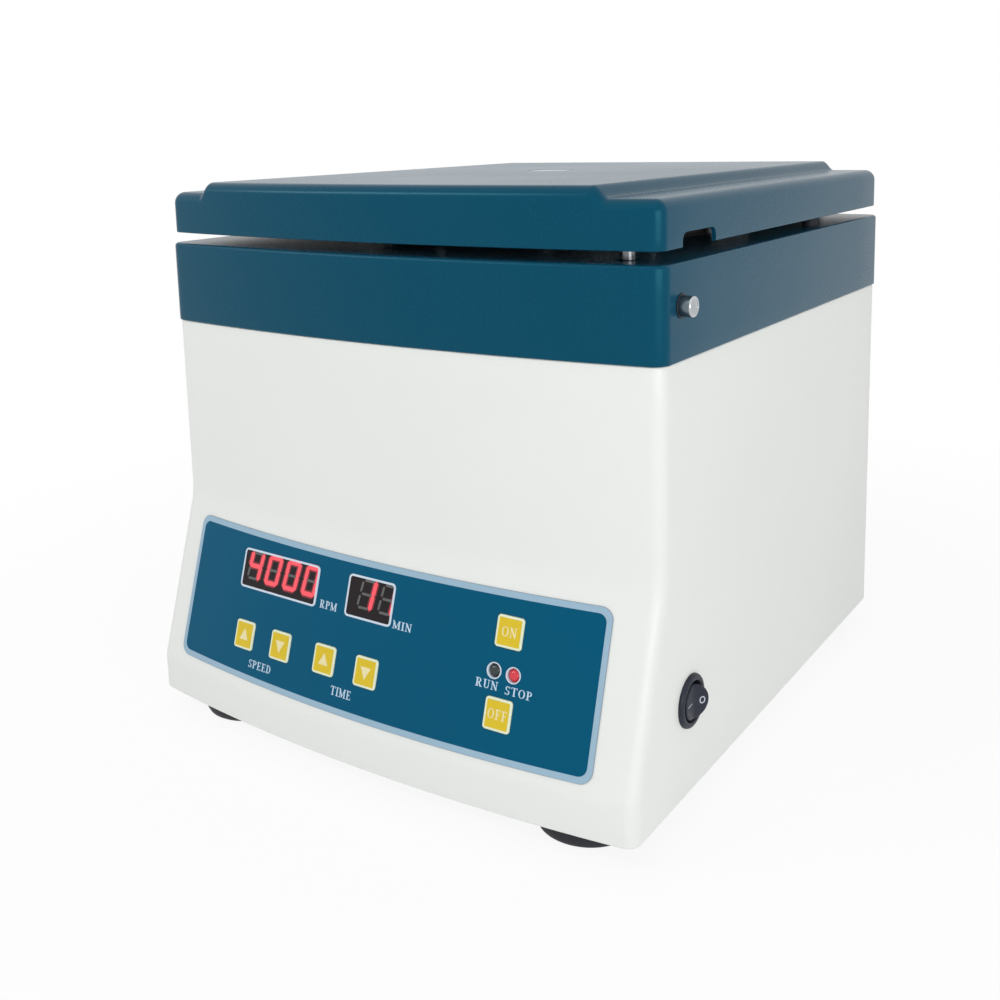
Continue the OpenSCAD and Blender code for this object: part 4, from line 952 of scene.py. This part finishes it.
def word(text, left, right, low, tall):
    """Strokes of a word that fills a width, from its baseline up."""
    gap = 0.1
    run = sum(letters[one][0] + gap for one in text) - gap
    stretch = (right - left) / run
    shapes = []
    for one in text:
        wide, strokes = letters[one]
        shapes += [[(left + x * stretch, low + y * tall) for x, y in stroke] for stroke in strokes]
        left += (wide + gap) * stretch
    return shapes


def on_film(x, y, lift):
    """A point on the printed film, with y up the slope."""
    return on_panel(x, -y, film_face + lift)


lettering = moulded(
    "lettering", (188, 210, 228), (178, 202, 222), broad=200, fine=2500, smooth=0.45, rough=0.55
)
words = []
for text, left, right, low, tall in (
    ("RPM", -28.8, -18.3, -35.0, 3.6), ("MIN", 14.4, 24.9, -35.3, 3.6),
    ("SPEED", -68.6, -53.2, -71.3, 3.7), ("TIME", -14.6, -2.6, -70.9, 3.9),
    ("RUN", 60.2, 71.0, -49.3, 3.6), ("STOP", 74.4, 87.0, -49.7, 3.5),
):
    words += word(text, left, right, low, tall)
new_piece("panel_lettering", *stamped(words, on_film, -0.02, 0.03), [lettering], "case", "panel_film")

# Display windows
# Dark glossy panes in thin pale frames, set in the film's openings, with seven-bar red digits
# behind them: bars that are off stay grey, and lit ones glow a little past their edges.
dark_pane = moulded(
    "window", (30, 22, 26), (25, 19, 23), broad=40, fine=600, smooth=0.12, rough=0.2, grain=0.001,
    Specular_IOR_Level=0.2
)
pale_frame = moulded(
    "window_frame", (204, 216, 229), (194, 208, 223), broad=120, fine=2000, smooth=0.35, rough=0.5
)
lit_bar = moulded(
    "lit_bar", (150, 24, 34), (140, 20, 30), smooth=0.4, rough=0.5,
    Emission_Color=paint_tone(255, 82, 94), Emission_Strength=0.95
)
bar_glow = moulded(
    "bar_glow", (60, 14, 20), (54, 12, 18), smooth=0.4, rough=0.5,
    Emission_Color=paint_tone(112, 16, 28), Emission_Strength=1.0
)
dull_bar = moulded(
    "dull_bar", (100, 100, 98), (88, 89, 88), broad=300, fine=2000, smooth=0.4, rough=0.5,
    Specular_IOR_Level=0.2
)
dress(["speed_display", "timer_display"], dark_pane)
least_r, bend_steps = 0.35, 6


def raised(place, wide, tall, r, levels):
    """A stack of rounded outlines: levels are how far each is set in, and its height."""
    rings = []
    for inset, h in levels:
        loop = rounded_loop(wide - 2 * inset, tall - 2 * inset, max(r - inset, least_r), bend_steps)
        rings.append([place @ Vector((x, y, h)) for x, y in loop])
    return loft(rings)


bar_spans = {
    "top": (-1, 1, 1, 1), "top_right": (1, 1, 1, 0), "low_right": (1, 0, 1, -1), "low": (-1, -1, 1, -1),
    "low_left": (-1, 0, -1, -1), "top_left": (-1, 1, -1, 0), "middle": (-1, 0, 1, 0),
}
digit_wide, digit_tall, bar_wide, digit_lean = 7.25, 12.2, 1.95, math.tan(math.radians(8))


def digit_bar(middle, span, gap, grow, limit):
    """One bar of a digit with pointed ends, cut off where the window ends."""
    x1, y1, x2, y2 = (n * size / 2 for n, size in zip(span, (digit_wide, digit_tall) * 2))
    reach = math.hypot(x2 - x1, y2 - y1)
    ux, uy = (x2 - x1) / reach, (y2 - y1) / reach
    tip, half = gap - grow, bar_wide / 2 + grow
    near, far = tip + half, reach - tip - half
    outline = []
    for run, side in ((tip, 0), (near, half), (far, half), (reach - tip, 0), (far, -half), (near, -half)):
        x, y = x1 + ux * run - uy * side, y1 + uy * run + ux * side
        outline.append((middle + x + y * digit_lean, y))
    kept = []
    for k, (x, y) in enumerate(outline):
        px, py = outline[k - 1]
        if (x <= limit) != (px <= limit):
            kept.append((limit, py + (y - py) * (limit - px) / (x - px)))
        if x <= limit:
            kept.append((x, y))
    return kept


right_bars = ("top_right", "low_right")
four = right_bars + ("top_left", "middle")
zero = right_bars + ("top", "low", "low_left", "top_left")
readings = {
    "speed": (1.65, ((-17.1, four), (-4.4, zero), (8.2, zero), (20.9, zero))),
    "timer": (1.85, ((-2.1, right_bars), (9.9, right_bars))),
}
frame_levels = [(0, -0.2), (0, 0.74), (0.1, 0.86), (0.28, 0.9), (0.8, 0.9), (0.92, 0.86), (0.98, 0.72)]
lit, glowing, dull = 0, 1, 2
bar_layers = (
    (glowing, -0.4, 0.8, 0.68, 0.74), (dull, 0.22, -0.4, 0.68, 0.75), (lit, -0.5, 0, 0.68, 0.765),
)
for name, (x, v, wide, tall) in window_places.items():
    place = panel_spot(x, v)
    rise, digits = readings[name]
    points, faces = raised(place, wide, tall, 2.1, frame_levels)
    tints = [1] * (len(faces) - 2) + [0, 0]
    pane = new_piece(f"{name}_pane", points, faces, [dark_pane, pale_frame], "case", "window", tints=tints)
    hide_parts(f"{name}_window")

    def behind_pane(x, y, h):
        return place @ Vector((x, y + rise, h))

    shapes, tints = [], []
    for tint, gap, grow, low, high in bar_layers:
        for middle, lit_bars in digits:
            for label, span in bar_spans.items():
                outline = digit_bar(middle, span, gap, grow, wide / 2 - 1.0)
                if (label in lit_bars) == (tint == dull) or len(outline) < 3:
                    continue
                hair = 0.002 * len(shapes) % 0.01
                made = stamped([outline], behind_pane, low, high + hair)
                shapes.append(made)
                tints += [tint] * len(made[1])
    finishes = [lit_bar, bar_glow, dull_bar]
    new_piece(f"{name}_digits", *joined(shapes), finishes, "case", "display", tints=tints)

# Keys
# Six yellow moulded caps that stand a little out of the film, each with a thin pale rim and a cream
# sign on a slightly crowned face, and behind the panel a flange and a stem down to the board.
key_yellow = moulded(
    "key_plastic", (216, 188, 40), (208, 180, 36), broad=200, fine=1800, smooth=0.35, rough=0.45,
    grain=0.006, Specular_IOR_Level=0.3
)
key_rim = moulded(
    "key_rim", (222, 230, 204), (214, 223, 194), broad=200, fine=1800, smooth=0.35, rough=0.45
)
key_sign = moulded(
    "key_sign", (231, 221, 170), (224, 213, 160), broad=200, fine=2500, smooth=0.45, rough=0.55
)
up_peak = [[(-2.9, -2.3), (2.9, -2.3), (0, 3.2)]]
down_peak = [[(x, -y) for x, y in up_peak[0]]]
signs = {
    "speed_up": up_peak, "speed_down": down_peak, "time_up": up_peak, "time_down": down_peak,
    "start": word("ON", -3.6, 3.6, -2.0, 4.2), "stop": word("OFF", -4.6, 4.6, -2.0, 4.2),
}
rim_levels = [(0, -3.3), (0, 0.8), (0.1, 1.02), (0.3, 1.14), (0.86, 1.18), (1.0, 1.12)]
face_levels = [(1.2, 1.1), (3.5, 1.15), (5.5, 1.17)]
ring_size = len(rounded_loop(1, 1, least_r, bend_steps))
for name, spot_on_panel in key_places.items():
    place = panel_spot(*spot_on_panel)
    cap = raised(place, key_wide, key_tall, key_r, rim_levels + face_levels)
    flange = block(place, 15.9, 16.1, -4.3, -2.9, r=0.8)
    stalk = joined([flange, turned(place, [(2.5, -9), (2.5, -4.2)])])
    mark = stamped(signs[name], lambda x, y, h: place @ Vector((x, y, h)), 1.0, 1.19)
    points, faces = joined([cap, stalk, mark])
    tints = [1] * (len(rim_levels) - 1) * ring_size + [0] * (len(face_levels) * ring_size + 2)
    tints += [0] * len(stalk[1]) + [2] * len(mark[1])
    finishes = [key_yellow, key_rim, key_sign]
    key = new_piece(f"{name}_cap", points, faces, finishes, f"{name}_button", "key_plastic", tints=tints)
    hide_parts(f"{name}_key")

# Indicator lamps
# Small lamps in pale snap-in rings: the left one is dark, and the right one is lit red.
lamp_ring = moulded(
    "lamp_ring", (206, 217, 228), (198, 210, 222), broad=200, fine=2000, smooth=0.25, rough=0.4
)
dark_lens = moulded(
    "dark_lens", (44, 52, 54), (36, 43, 45), broad=200, fine=900, smooth=0.1, rough=0.2, grain=0.001
)
red_lens = moulded(
    "red_lens", (206, 54, 64), (190, 44, 55), broad=200, fine=900, smooth=0.08, rough=0.16,
    grain=0.001, Emission_Color=paint_tone(150, 24, 36), Emission_Strength=0.25
)
bezel_profile = [
    (2.9, -9), (2.9, 0.55), (3.45, 0.55), (3.5, 0.8), (3.44, 1.05), (3.3, 1.18), (3.1, 1.15),
    (2.94, 0.95), (2.85, 0.4), (2.8, -2.4),
]
dome_profile = [
    (2.75, -2.3), (2.75, -0.9), (2.5, -0.2), (2.05, 0.3), (1.45, 0.62), (0.75, 0.8), (0.1, 0.85),
]
for name, lens_finish in (("run", dark_lens), ("stop", red_lens)):
    place = panel_spot(*lamp_places[name])
    bezel, dome = turned(place, bezel_profile), turned(place, dome_profile)
    points, faces = joined([bezel, dome])
    tints = [0] * len(bezel[1]) + [1] * len(dome[1])
    finishes = [lamp_ring, lens_finish]
    lamp = new_piece(f"{name}_lamp_case", points, faces, finishes, "case", "red_lens", tints=tints)
    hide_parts(f"{name}_lamp")
